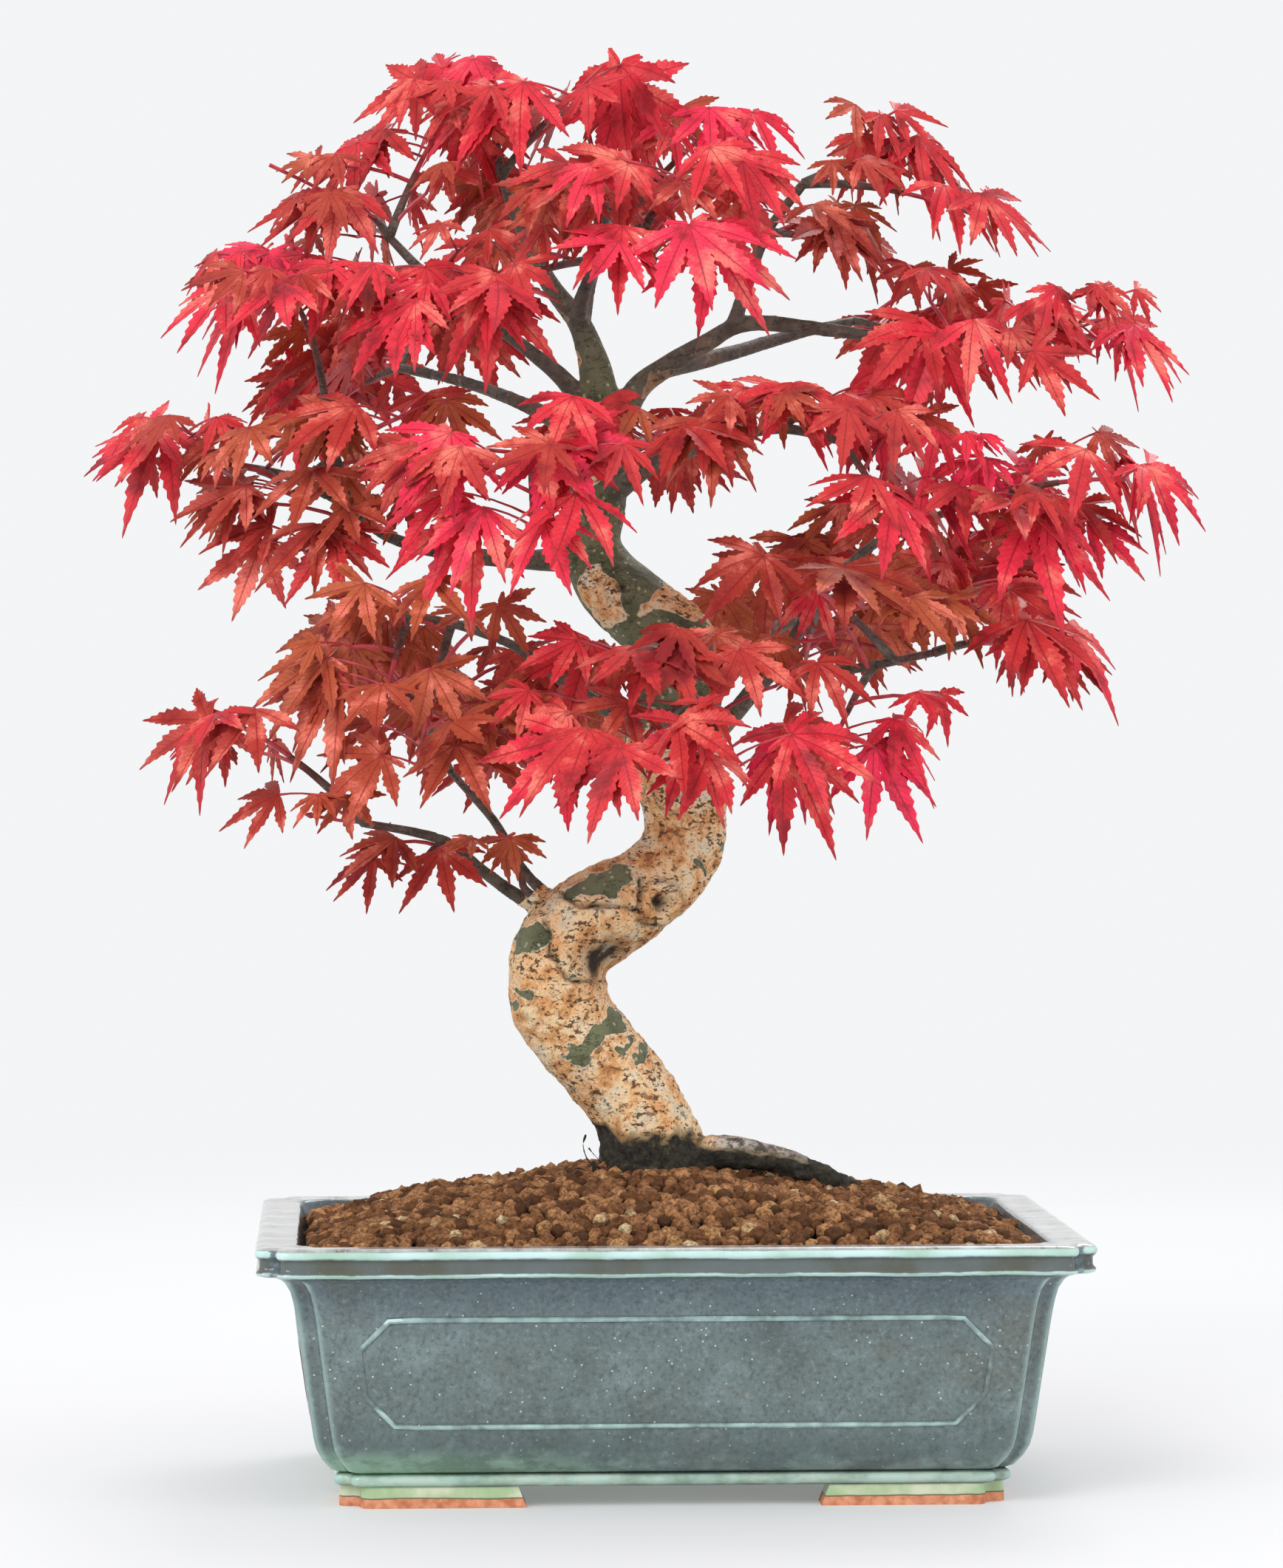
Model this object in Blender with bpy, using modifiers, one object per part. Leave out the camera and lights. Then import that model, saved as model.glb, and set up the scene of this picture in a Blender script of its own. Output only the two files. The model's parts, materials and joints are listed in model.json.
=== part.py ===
"""A Japanese maple bonsai in a glazed rectangular pot.

The pot stands on the ground plane, its front facing -Y. The trunk winds up out of a mound of
granules, carries woody limbs and twigs, and every twig ends in a leafy shoot of its own.
Everything is modelled about the middle of the pot and moved at the end, so that the origin
lies under the middle of the whole object. Lengths are metres, except in the growth plan.
"""

import math
import random

import bmesh
import bpy
from mathutils import Matrix, Vector
from mathutils.bvhtree import BVHTree

# Pot: one fired piece with a flat lip, notched corners and four corner feet
POT_LENGTH = 0.260
POT_DEPTH = 0.190
POT_HEIGHT = 0.083
CORNER_NOTCH = 0.007
CORNER_ROUND = 0.0022
LIP_BAND = 0.0093
LIP_WIDTH = 0.0125
LIP_OVERHANG = 0.0085
WALL_THICKNESS = 0.007
WALL_TAPER = 0.0078
FLARE = 0.0038
TURN_IN = 0.0052
RIB_HEIGHT = 0.0035
FLOOR_THICKNESS = 0.007
INNER_ROUND = 0.012
FOOT_HEIGHT = 0.0065
FOOT_WIDTH = 0.012
FRONT_FOOT = 0.0590
SIDE_FOOT = 0.0380
FOOT_SLANT = 0.0030
DRAIN_DIAMETER = 0.022
DRAIN_SPACING = 0.128

# Drainage mesh and the wire staple that holds it
MESH_SIDE = 0.034
MESH_THICKNESS = 0.0010
MESH_BAR = 0.0018
MESH_CELLS = 4
CLIP_WIRE = 0.0012
CLIP_REACH = 0.016

# Soil
SOIL_BELOW_LIP = 0.0045
MOUND_RISE = 0.0215

# Tree
TRUNK_GIRTH = 1.0
LIMB_GIRTH = 1.0
TWIG_RADIUS = 0.0012
STEM_RADIUS = 0.0008
PETIOLE_RADIUS = 0.00045
BLADE_THICKNESS = 0.0010
LEAF_SPREAD = 1.0

CLEARANCE = 0.0003
MILLIMETRE = 0.001

# The trunk's bends above the soil's crest: across, back, up, and girth, in millimetres
TRUNK = [
    (4, 0, -30, 26), (1, 0, -12, 44), (-2, 0, 3, 35), (-7, -1, 18, 31), (-17, -2, 31, 30),
    (-27, -4, 43, 30), (-33, -5, 54, 32), (-34, -6, 65, 32), (-29, -6, 75, 32), (-18, -4, 83, 31),
    (-6, -1, 90, 28), (4, 2, 99, 27), (8, 4, 110, 27), (6, 4, 124, 28), (3, 4, 137, 31),
    (4, 2, 149, 31), (7, -1, 161, 27), (4, -3, 171, 25), (-7, -3, 180, 25), (-17, -2, 189, 23),
    (-22, 0, 201, 19), (-20, 1, 213, 17), (-19, 1, 228, 16), (-20, 0, 243, 14), (-21, 0, 255, 11),
    (-26, -1, 271, 8), (-37, -3, 286, 6), (-46, -4, 304, 4.5), (-52, -6, 319, 3),
]

# Roots: the first one shows above the soil, the others spread through it
ROOTS = [
    [(2, -3, -6, 18), (17, -9, 5, 12), (34, -14, 4, 9), (48, -17, 0, 7), (62, -19, -8, 5), (73, -21, -17, 3)],
    [(4, -2, -14, 16), (16, -22, -20, 9), (24, -40, -30, 6), (28, -56, -40, 3)],
    [(-2, -2, -14, 16), (-22, -14, -18, 10), (-42, -24, -26, 6), (-60, -34, -38, 3)],
    [(-2, 2, -14, 16), (-20, 16, -20, 9), (-38, 30, -30, 6), (-50, 44, -42, 3)],
    [(4, 2, -14, 16), (10, 24, -20, 9), (14, 42, -28, 6), (16, 58, -40, 3)],
    [(6, 2, -16, 14), (30, 18, -24, 8), (54, 32, -34, 5), (74, 40, -46, 3)],
]

# Woody limbs above the soil's crest: across, back, up, and girth at each point, in millimetres
LIMBS = {
    "low_left": [(-28, -5, 79, 8), (-45, -8, 87, 5), (-59, -14, 97, 4), (-68, -20, 105, 3.4),
                 (-80, -27, 109, 3), (-96, -36, 112, 2.4)],
    "low_left_back": [(-26, -2, 80, 7), (-38, 4, 89, 4.4), (-46, 10, 98, 3.6), (-54, 16, 112, 3),
                      (-68, 26, 128, 2.4)],
    "mid_right": [(5, 3, 134, 10), (18, -2, 141, 7), (29, -8, 154, 6), (38, -14, 164, 5),
                  (44, -20, 176, 4.2), (52, -26, 188, 3.6), (68, -34, 202, 3), (92, -38, 212, 2.4)],
    "mid_right_low": [(34, -11, 160, 5), (42, -18, 160, 3.6), (60, -28, 161, 3), (84, -38, 166, 2.4)],
    "mid_left": [(2, 2, 141, 9), (-12, -4, 145, 6), (-23, -9, 151, 5), (-35, -15, 159, 4.2),
                 (-48, -24, 168, 3.4), (-64, -34, 174, 3), (-82, -44, 178, 2.4)],
    "front_low": [(5, -4, 130, 9), (8, -24, 138, 5), (8, -42, 146, 4), (6, -62, 152, 3)],
    "left": [(-20, 0, 197, 10), (-44, -8, 196, 6.5), (-68, -14, 198, 5), (-88, -18, 203, 4),
             (-102, -20, 213, 3.4), (-120, -22, 222, 2.8), (-138, -21, 226, 2.2)],
    "left_rise": [(-100, -20, 211, 4), (-106, -24, 232, 3), (-109, -27, 250, 2.6), (-112, -29, 264, 2.2),
                  (-117, -31, 276, 1.8)],
    "front_left": [(-20, -4, 208, 8), (-28, -26, 218, 5), (-36, -46, 224, 4), (-44, -64, 226, 3)],
    "front_right": [(-18, -4, 216, 8), (-4, -24, 226, 5.5), (14, -42, 232, 4.4), (34, -54, 236, 3.4),
                    (52, -60, 232, 2.6)],
    "right": [(-16, 2, 236, 11), (-8, 1, 251, 8), (2, -1, 259, 7), (14, -5, 266, 6), (27, -9, 272, 5.5),
              (50, -14, 270, 4.6), (76, -20, 266, 3.8), (104, -24, 262, 3), (122, -25, 268, 2.4)],
    "right_rise": [(22, -7, 270, 5.5), (27, -4, 284, 4.4), (34, 0, 302, 3.6), (46, 2, 318, 2.8)],
    "upper_left": [(-20, 0, 240, 9), (-32, -5, 254, 6), (-42, -10, 262, 5), (-56, -16, 272, 4.2),
                   (-74, -22, 284, 3.4), (-88, -22, 298, 2.6)],
    "upper_front": [(-28, -3, 273, 6), (-24, -20, 286, 4), (-16, -36, 296, 3.4), (-8, -48, 300, 2.6)],
    "crown_back": [(-26, 1, 270, 6), (-22, 20, 288, 4.4), (-16, 38, 304, 3.4), (-12, 52, 314, 2.6)],
    "back_low_left": [(4, 6, 122, 9), (-12, 30, 130, 6), (-30, 52, 142, 4.6), (-48, 74, 150, 3.4),
                      (-66, 92, 154, 2.4)],
    "back_low_right": [(8, 4, 158, 9), (28, 28, 168, 6), (50, 50, 180, 4.6), (74, 70, 190, 3.4),
                       (92, 84, 196, 2.4)],
    "back": [(-20, 4, 206, 9), (-16, 28, 218, 6), (-10, 54, 230, 4.6), (-4, 82, 236, 3.4), (0, 102, 240, 2.4)],
    "back_left": [(-20, 3, 232, 8), (-40, 26, 246, 5.4), (-62, 48, 256, 4.2), (-84, 66, 262, 3)],
    "back_right": [(0, 1, 258, 7), (22, 24, 264, 5.4), (46, 46, 272, 4.2), (68, 64, 278, 3)],
}

# Leafy shoots: limb, where the leading leaf hangs above the soil's crest, how wide that leaf
# spreads, how many leaves the shoot carries, and its age from 0, just opened, to 1, hardened
SHOOTS = [
    ("trunk", (-61, -8, 359), 42, 4, 0.15), ("trunk", (-45, -32, 352), 52, 4, 0.2),
    ("crown_back", (-14, 6, 349), 46, 4, 0.55), ("crown_back", (15, -18, 341), 34, 4, 0.1),
    ("upper_left", (-89, -10, 334), 46, 4, 0.4), ("crown_back", (-20, 74, 322), 48, 6, 0.5),
    ("upper_left", (-107, -12, 312), 46, 4, 0.45), ("upper_front", (-13, -60, 319), 54, 4, 0.35),
    ("upper_front", (10, -74, 293), 52, 4, 0.15), ("right_rise", (52, -24, 302), 46, 4, 0.7),
    ("left_rise", (-130, -31, 295), 38, 3, 0.05), ("left_rise", (-134, -40, 279), 44, 2, 0.3),
    ("upper_left", (-108, -50, 284), 44, 4, 0.15), ("upper_left", (-84, -66, 272), 46, 4, 0.25),
    ("upper_front", (-56, -72, 280), 44, 4, 0.35), ("left", (-98, -58, 243), 46, 4, 0.75),
    ("left", (-158, -21, 238), 50, 3, 0.3), ("left", (-133, -42, 218), 46, 4, 0.8),
    ("left", (-106, -52, 204), 46, 4, 0.6), ("mid_left", (-109, -24, 175), 40, 4, 0.95),
    ("front_left", (-39, -88, 230), 52, 4, 0.15), ("front_left", (-62, -84, 206), 54, 4, 0.2),
    ("front_right", (2, -74, 236), 48, 4, 0.6), ("front_right", (36, -62, 248), 46, 4, 0.3),
    ("front_low", (-8, -84, 168), 46, 4, 0.4), ("front_low", (-34, -92, 139), 58, 4, 0.35),
    ("mid_left", (-68, -70, 136), 46, 4, 0.75), ("mid_left", (-104, -60, 155), 48, 4, 0.8),
    ("low_left", (-72, -26, 103), 36, 2, 0.7), ("low_left", (-146, -50, 148), 46, 4, 0.5),
    ("front_low", (34, -84, 136), 54, 4, 0.4), ("right_rise", (78, -8, 332), 44, 4, 0.45),
    ("right_rise", (108, -14, 310), 44, 4, 0.4), ("right", (84, -48, 266), 50, 4, 0.35),
    ("right", (118, -24, 279), 42, 3, 0.2), ("right", (144, -26, 271), 40, 3, 0.1),
    ("front_right", (74, -60, 216), 46, 4, 0.3), ("mid_right", (97, -50, 226), 38, 4, 0.1),
    ("mid_right", (142, -30, 228), 44, 4, 0.25), ("mid_right", (114, -56, 208), 52, 4, 0.25),
    ("mid_right_low", (52, -72, 193), 50, 4, 0.85), ("mid_right_low", (112, -58, 176), 54, 3, 0.35),
    ("mid_right_low", (62, -66, 136), 44, 4, 0.05),
    ("back_low_left", (-104, 78, 170), 48, 6, 0.6), ("back_low_left", (-62, 112, 150), 50, 6, 0.5),
    ("back_low_left", (-26, 92, 138), 48, 6, 0.7), ("back_low_right", (118, 60, 190), 50, 6, 0.4),
    ("back_low_right", (88, 104, 196), 50, 6, 0.6), ("back_low_right", (40, 96, 172), 48, 6, 0.7),
    ("back", (8, 124, 238), 50, 6, 0.5), ("back_left", (-112, 64, 258), 50, 6, 0.4),
    ("back_left", (-62, 96, 284), 50, 6, 0.5), ("back_right", (92, 66, 274), 50, 6, 0.4),
]

OBJECT_NAME = "bonsai"


def colour(red, green, blue):
    return (red, green, blue, 1.0)


def material(name, base_colour, roughness, metallic=0.0):
    """A plain Principled material."""
    made = bpy.data.materials.new(name)
    made.use_nodes = True
    shader = made.node_tree.nodes["Principled BSDF"]
    shader.inputs["Base Color"].default_value = base_colour
    shader.inputs["Roughness"].default_value = roughness
    shader.inputs["Metallic"].default_value = metallic
    return made


def new_collection(name):
    collection = bpy.data.collections.new(name)
    bpy.context.scene.collection.children.link(collection)
    return collection


def object_from(name, mesh, collection):
    made = bpy.data.objects.new(name, mesh)
    collection.objects.link(made)
    return made


def remove_object(unwanted):
    """Deletes an object together with its mesh or curve."""
    data = unwanted.data
    bpy.data.objects.remove(unwanted)
    if isinstance(data, bpy.types.Curve):
        bpy.data.curves.remove(data)
    elif data.users == 0:
        bpy.data.meshes.remove(data)


def evaluated_mesh(source):
    depsgraph = bpy.context.evaluated_depsgraph_get()
    return bpy.data.meshes.new_from_object(source.evaluated_get(depsgraph))


def join_or_cut(target, operation, operands):
    """Joins the operand objects to the target, or cuts them out of it, and removes them."""
    group = bpy.data.collections.new("operands")
    for operand in operands:
        group.objects.link(operand)
    boolean = target.modifiers.new("shape", "BOOLEAN")
    boolean.operation = operation
    boolean.solver = "EXACT"
    boolean.operand_type = "COLLECTION"
    boolean.collection = group
    shaped = evaluated_mesh(target)
    target.modifiers.remove(boolean)
    plain = target.data
    target.data = shaped
    bpy.data.meshes.remove(plain)
    for operand in operands:
        remove_object(operand)
    bpy.data.collections.remove(group)


def tube(name, points, radii, sides, collection):
    """A closed tapering tube along the points, as a mesh."""
    curve = bpy.data.curves.new(name, "CURVE")
    curve.dimensions = "3D"
    curve.bevel_depth = 1.0
    curve.bevel_resolution = (sides - 4) // 2
    curve.use_fill_caps = True
    spline = curve.splines.new("POLY")
    spline.points.add(len(points) - 1)
    for spline_point, place, radius in zip(spline.points, points, radii):
        spline_point.co = (*place, 1.0)
        spline_point.radius = radius
    drawn = object_from(name + "_curve", curve, collection)
    mesh = evaluated_mesh(drawn)
    remove_object(drawn)
    shape = bmesh.new()
    shape.from_mesh(mesh)
    bmesh.ops.remove_doubles(shape, verts=shape.verts, dist=1e-6)
    shape.to_mesh(mesh)
    shape.free()
    return object_from(name, mesh, collection)


def box(name, low, high, collection):
    """A box between two corners."""
    low, high = Vector(low), Vector(high)
    shape = bmesh.new()
    bmesh.ops.create_cube(shape, size=1.0)
    bmesh.ops.scale(shape, vec=high - low, verts=shape.verts)
    bmesh.ops.translate(shape, vec=(low + high) / 2, verts=shape.verts)
    mesh = bpy.data.meshes.new(name)
    shape.to_mesh(mesh)
    shape.free()
    return object_from(name, mesh, collection)


def arc(centre, radius, start_degrees, end_degrees, steps):
    """Points along an arc in the ground plane."""
    points = []
    for step in range(steps):
        turn = math.radians(start_degrees + (end_degrees - start_degrees) * step / (steps - 1))
        points.append((centre[0] + radius * math.cos(turn), centre[1] + radius * math.sin(turn)))
    return points


def mirrored_round(quarter):
    """The whole outline from its +X +Y quarter, running anticlockwise."""
    upper = quarter + [(-x, y) for x, y in reversed(quarter)]
    return upper + [(-x, -y) for x, y in upper]


def notched_outline(inset):
    """The pot's outline at an inset from the lip: a rectangle whose corners step inwards."""
    half_x, half_y = POT_LENGTH / 2 - inset, POT_DEPTH / 2 - inset
    step, rounding = CORNER_NOTCH, CORNER_ROUND
    quarter = arc((half_x - rounding, half_y - step - rounding), rounding, 0, 90, 2)
    quarter += arc((half_x - step + rounding, half_y - step + rounding), rounding, 270, 180, 2)
    quarter += arc((half_x - step - rounding, half_y - rounding), rounding, 0, 90, 2)
    return mirrored_round(quarter)


def rounded_outline(inset, rounding):
    """A rectangle with rounded corners and as many points as the notched outline."""
    half_x, half_y = POT_LENGTH / 2 - inset, POT_DEPTH / 2 - inset
    return mirrored_round(arc((half_x - rounding, half_y - rounding), rounding, 0, 90, 6))


def loft(name, rings, collection):
    """A closed solid through rings of (outline, height), made by raising one face again and again."""
    shape = bmesh.new()
    (first, height), *others = rings
    ring = [shape.verts.new((x, y, height)) for x, y in first]
    face = shape.faces.new(ring)
    for level, (outline, height) in enumerate(others):
        below = face
        raised = bmesh.ops.extrude_face_region(shape, geom=[face])["geom"]
        fresh = {item for item in raised if isinstance(item, bmesh.types.BMVert)}
        face = next(item for item in raised if isinstance(item, bmesh.types.BMFace))
        ring = [next(edge.other_vert(corner) for edge in corner.link_edges
                     if edge.other_vert(corner) in fresh) for corner in ring]
        for corner, (x, y) in zip(ring, outline):
            corner.co = (x, y, height)
        if level:
            bmesh.ops.delete(shape, geom=[below], context="FACES_ONLY")
    bmesh.ops.recalc_face_normals(shape, faces=shape.faces)
    mesh = bpy.data.meshes.new(name)
    shape.to_mesh(mesh)
    shape.free()
    return object_from(name, mesh, collection)


def wall_inset(height):
    """How far the outer wall stands in from the lip at a height between rib and lip.

    The wall flares out under the lip, runs down with a slight hollow, and turns in at its foot.
    """
    bottom, top = FOOT_HEIGHT + RIB_HEIGHT, POT_HEIGHT - LIP_BAND
    drop = 1 - min(max((height - bottom) / (top - bottom), 0.0), 1.0)
    taper = WALL_TAPER * drop ** 1.5
    flare = FLARE * (1 - math.exp(-drop / 0.10))
    turn_in = TURN_IN * max(0.0, (drop - 0.82) / 0.18) ** 2
    return LIP_OVERHANG + taper + flare + turn_in


def base_inset():
    return wall_inset(FOOT_HEIGHT + RIB_HEIGHT)


def inner_inset(height):
    """How far the inner wall stands in from the lip."""
    return wall_inset(max(height, FOOT_HEIGHT + RIB_HEIGHT)) + WALL_THICKNESS


def inner_rings(gap):
    """Rings up the inner wall from the floor to the soil line, a gap away from the fired clay."""
    floor_top = FOOT_HEIGHT + FLOOR_THICKNESS
    soil_line = POT_HEIGHT - SOIL_BELOW_LIP
    rings = [(rounded_outline(inner_inset(floor_top) + 0.003 + gap, INNER_ROUND), floor_top + gap)]
    for share in (0.08, 0.3, 0.6, 0.85, 1.0):
        height = floor_top + (soil_line - floor_top) * share
        rings.append((rounded_outline(inner_inset(height) + gap, INNER_ROUND), height))
    return rings


def make_pot(collection):
    """The fired pot: outer wall, banded lip, inner wall, floor, feet and drain holes."""
    rib_top, band_foot = FOOT_HEIGHT + RIB_HEIGHT, POT_HEIGHT - LIP_BAND
    wall_height = band_foot - rib_top
    rings = [(notched_outline(base_inset() + 0.0016), FOOT_HEIGHT)]
    rings.append((notched_outline(base_inset() + 0.0004), FOOT_HEIGHT + 0.0006))
    rings.append((notched_outline(base_inset() - 0.0004), rib_top - 0.0006))
    for share in (0.06, 0.14, 0.26, 0.5, 0.72, 0.86, 0.95):
        height = rib_top + wall_height * share
        rings.append((notched_outline(wall_inset(height)), height))
    for inset, above in ((0.0020, 0.0), (0.0001, 0.0014), (0.0008, 0.0026), (0.0008, 0.0056), (0.0, 0.0066)):
        rings.append((notched_outline(inset), band_foot + above * LIP_BAND / 0.0093))
    rings.append((notched_outline(0.0), POT_HEIGHT - 0.0014))
    rings.append((notched_outline(0.0016), POT_HEIGHT))
    rings.append((rounded_outline(LIP_WIDTH, INNER_ROUND), POT_HEIGHT))
    rings.append((rounded_outline(LIP_WIDTH + 0.0008, INNER_ROUND), POT_HEIGHT - 0.0012))
    rings += reversed(inner_rings(0.0))
    pot = loft("pot", rings, collection)
    join_or_cut(pot, "DIFFERENCE", [drain_cutter(side, collection) for side in (-1, 1)])

    sink = 0.001
    foot_outline = notched_outline(base_inset() + 0.0006)
    feet = loft("feet", [(foot_outline, 0.0), (foot_outline, FOOT_HEIGHT + sink)], collection)
    inside = rounded_outline(base_inset() + FOOT_WIDTH, 0.004)
    hollow = loft("hollow", [(inside, -sink), (inside, FOOT_HEIGHT + 2 * sink)], collection)
    join_or_cut(feet, "DIFFERENCE", [hollow, foot_gap("front_gap", 0, collection),
                                     foot_gap("side_gap", 1, collection)])
    join_or_cut(pot, "UNION", [feet])
    pot.data.set_sharp_from_angle(angle=math.radians(40))
    return pot


def foot_gap(name, axis, collection):
    """The slanted gap between two feet: 0 runs front to back, 1 from side to side."""
    length = POT_LENGTH if axis == 0 else POT_DEPTH
    foot = FRONT_FOOT if axis == 0 else SIDE_FOOT
    half_gap = length / 2 - base_inset() - 0.0006 - foot
    reach = POT_LENGTH
    low, high = -0.001, FOOT_HEIGHT + 0.002
    widths = [half_gap, half_gap + FOOT_SLANT * (high - low) / FOOT_HEIGHT]
    rings = []
    for width, height in zip(widths, (low, high)):
        corners = [(width, -reach), (width, reach), (-width, reach), (-width, -reach)]
        if axis == 1:
            corners = [(y, x) for x, y in corners]
        rings.append((corners, height))
    return loft(name, rings, collection)


def drain_cutter(side, collection):
    shape = bmesh.new()
    deep = 4 * FLOOR_THICKNESS
    radius = DRAIN_DIAMETER / 2
    bmesh.ops.create_cone(shape, cap_ends=True, segments=24, radius1=radius, radius2=radius, depth=deep)
    place = (side * DRAIN_SPACING / 2, 0, FOOT_HEIGHT + FLOOR_THICKNESS / 2)
    bmesh.ops.translate(shape, vec=place, verts=shape.verts)
    mesh = bpy.data.meshes.new("drain")
    shape.to_mesh(mesh)
    shape.free()
    return object_from("drain", mesh, collection)


def mesh_height():
    """Where the drainage mesh starts, just clear of the floor."""
    return FOOT_HEIGHT + FLOOR_THICKNESS + CLEARANCE


def make_drain_mesh(name, side, collection):
    """A square plastic net, lying over a drain hole."""
    shape = bmesh.new()
    bmesh.ops.create_grid(shape, x_segments=MESH_CELLS, y_segments=MESH_CELLS, size=MESH_SIDE / 2)
    cells = list(shape.faces)
    bmesh.ops.inset_individual(shape, faces=cells, thickness=MESH_BAR / 2)
    bmesh.ops.delete(shape, geom=cells, context="FACES")
    net = bpy.data.meshes.new(name)
    shape.to_mesh(net)
    shape.free()
    made = object_from(name, net, collection)
    made.location = (side * DRAIN_SPACING / 2, 0, mesh_height())
    thicken = made.modifiers.new("thickness", "SOLIDIFY")
    thicken.thickness = MESH_THICKNESS
    thicken.offset = 1.0
    return made


def make_clip(name, side, collection):
    """The staple: over one bar of the net, down through the hole, and out under the floor."""
    radius = CLIP_WIRE / 2
    leg = MESH_SIDE / MESH_CELLS / 2
    top = MESH_THICKNESS + radius + CLEARANCE
    under = FOOT_HEIGHT - radius - CLEARANCE - mesh_height()
    half = [(0.0, top), (leg * 0.7, top), (leg * 0.95, top - 0.0006), (leg, top - 0.0016),
            (leg, under + 0.0024), (leg + 0.0006, under + 0.0007), (leg + 0.002, under), (CLIP_REACH, under)]
    path = [(-x, leg, z) for x, z in reversed(half)] + [(x, leg, z) for x, z in half[1:]]
    made = tube(name, path, [radius] * len(path), 6, collection)
    made.location = (side * DRAIN_SPACING / 2, 0, mesh_height())
    return made


def crest():
    """The top of the mound, which the whole tree is measured from."""
    return POT_HEIGHT - SOIL_BELOW_LIP + MOUND_RISE


def mound_height(x, y, half_x, half_y):
    """The soil's surface: a broad mound, level at the lip and highest at the trunk."""
    broad = max(0.0, 1 - abs(x / half_x) ** 3.2) * max(0.0, 1 - abs(y / half_y) ** 3.2)
    peak = math.exp(-((x / 0.05) ** 2 + (y / 0.04) ** 2))
    return POT_HEIGHT - SOIL_BELOW_LIP + MOUND_RISE * (0.72 * broad + 0.28 * broad * peak)


def make_soil(collection):
    """The granules as one body: it fills the pot and leaves room for roots, nets and clips."""
    floor_top = FOOT_HEIGHT + FLOOR_THICKNESS
    rings = inner_rings(CLEARANCE * 1.4)
    rim = rings[-1][0]
    soil = loft("soil", rings, collection)

    shape = bmesh.new()
    shape.from_mesh(soil.data)
    top = max(shape.faces, key=lambda face: face.calc_center_median().z)
    half_x, half_y = max(x for x, y in rim), max(y for x, y in rim)
    shrink_before = 1.0
    for shrink in (0.93, 0.82, 0.66, 0.46, 0.24):
        bmesh.ops.inset_region(shape, faces=[top], thickness=0.0)
        for corner in top.verts:
            x, y = corner.co.x * shrink / shrink_before, corner.co.y * shrink / shrink_before
            corner.co = (x, y, mound_height(x, y, half_x, half_y))
        shrink_before = shrink
    centre = bmesh.ops.poke(shape, faces=[top])["verts"][0]
    centre.co.z = mound_height(0, 0, half_x, half_y)
    shape.to_mesh(soil.data)
    shape.free()

    pocket = tree_foot("pocket", CLEARANCE, collection)
    cutters = [pocket]
    for side in (-1, 1):
        middle = side * DRAIN_SPACING / 2
        half_net = MESH_SIDE / 2 + CLEARANCE
        net_top = mesh_height() + MESH_THICKNESS + CLEARANCE
        leg = MESH_SIDE / MESH_CELLS / 2
        half_wire = CLIP_WIRE / 2 + CLEARANCE
        cutters.append(box("net_room", (middle - half_net, -half_net, floor_top - 0.001),
                           (middle + half_net, half_net, net_top), collection))
        cutters.append(box("wire_room", (middle - leg - half_wire, leg - half_wire, floor_top),
                           (middle + leg + half_wire, leg + half_wire,
                            net_top + CLIP_WIRE + CLEARANCE * 2), collection))
    join_or_cut(soil, "DIFFERENCE", cutters)
    return soil


def planned(points, girth):
    """Places and radii in metres from a row of the growth plan."""
    places = [Vector((x, y, z)) * MILLIMETRE + Vector((0, 0, crest())) for x, y, z, _ in points]
    return places, [width * girth * MILLIMETRE / 2 for *_, width in points]


def tree_foot(name, swell, collection):
    """The lower trunk and the roots as one body, swollen all over by a clearance."""
    places, radii = planned(TRUNK[:6], TRUNK_GIRTH)
    places[0] = places[0] - Vector((0, 0, swell))
    foot = tube(name, places, [radius + swell for radius in radii], 12, collection)
    roots = []
    for number, points in enumerate(ROOTS):
        places, radii = planned(points, TRUNK_GIRTH)
        places[-1] = places[-1] + (places[-1] - places[-2]).normalized() * swell
        roots.append(tube(f"{name}_{number}", places, [radius + swell for radius in radii], 6, collection))
    join_or_cut(foot, "UNION", roots)
    return foot


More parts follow.
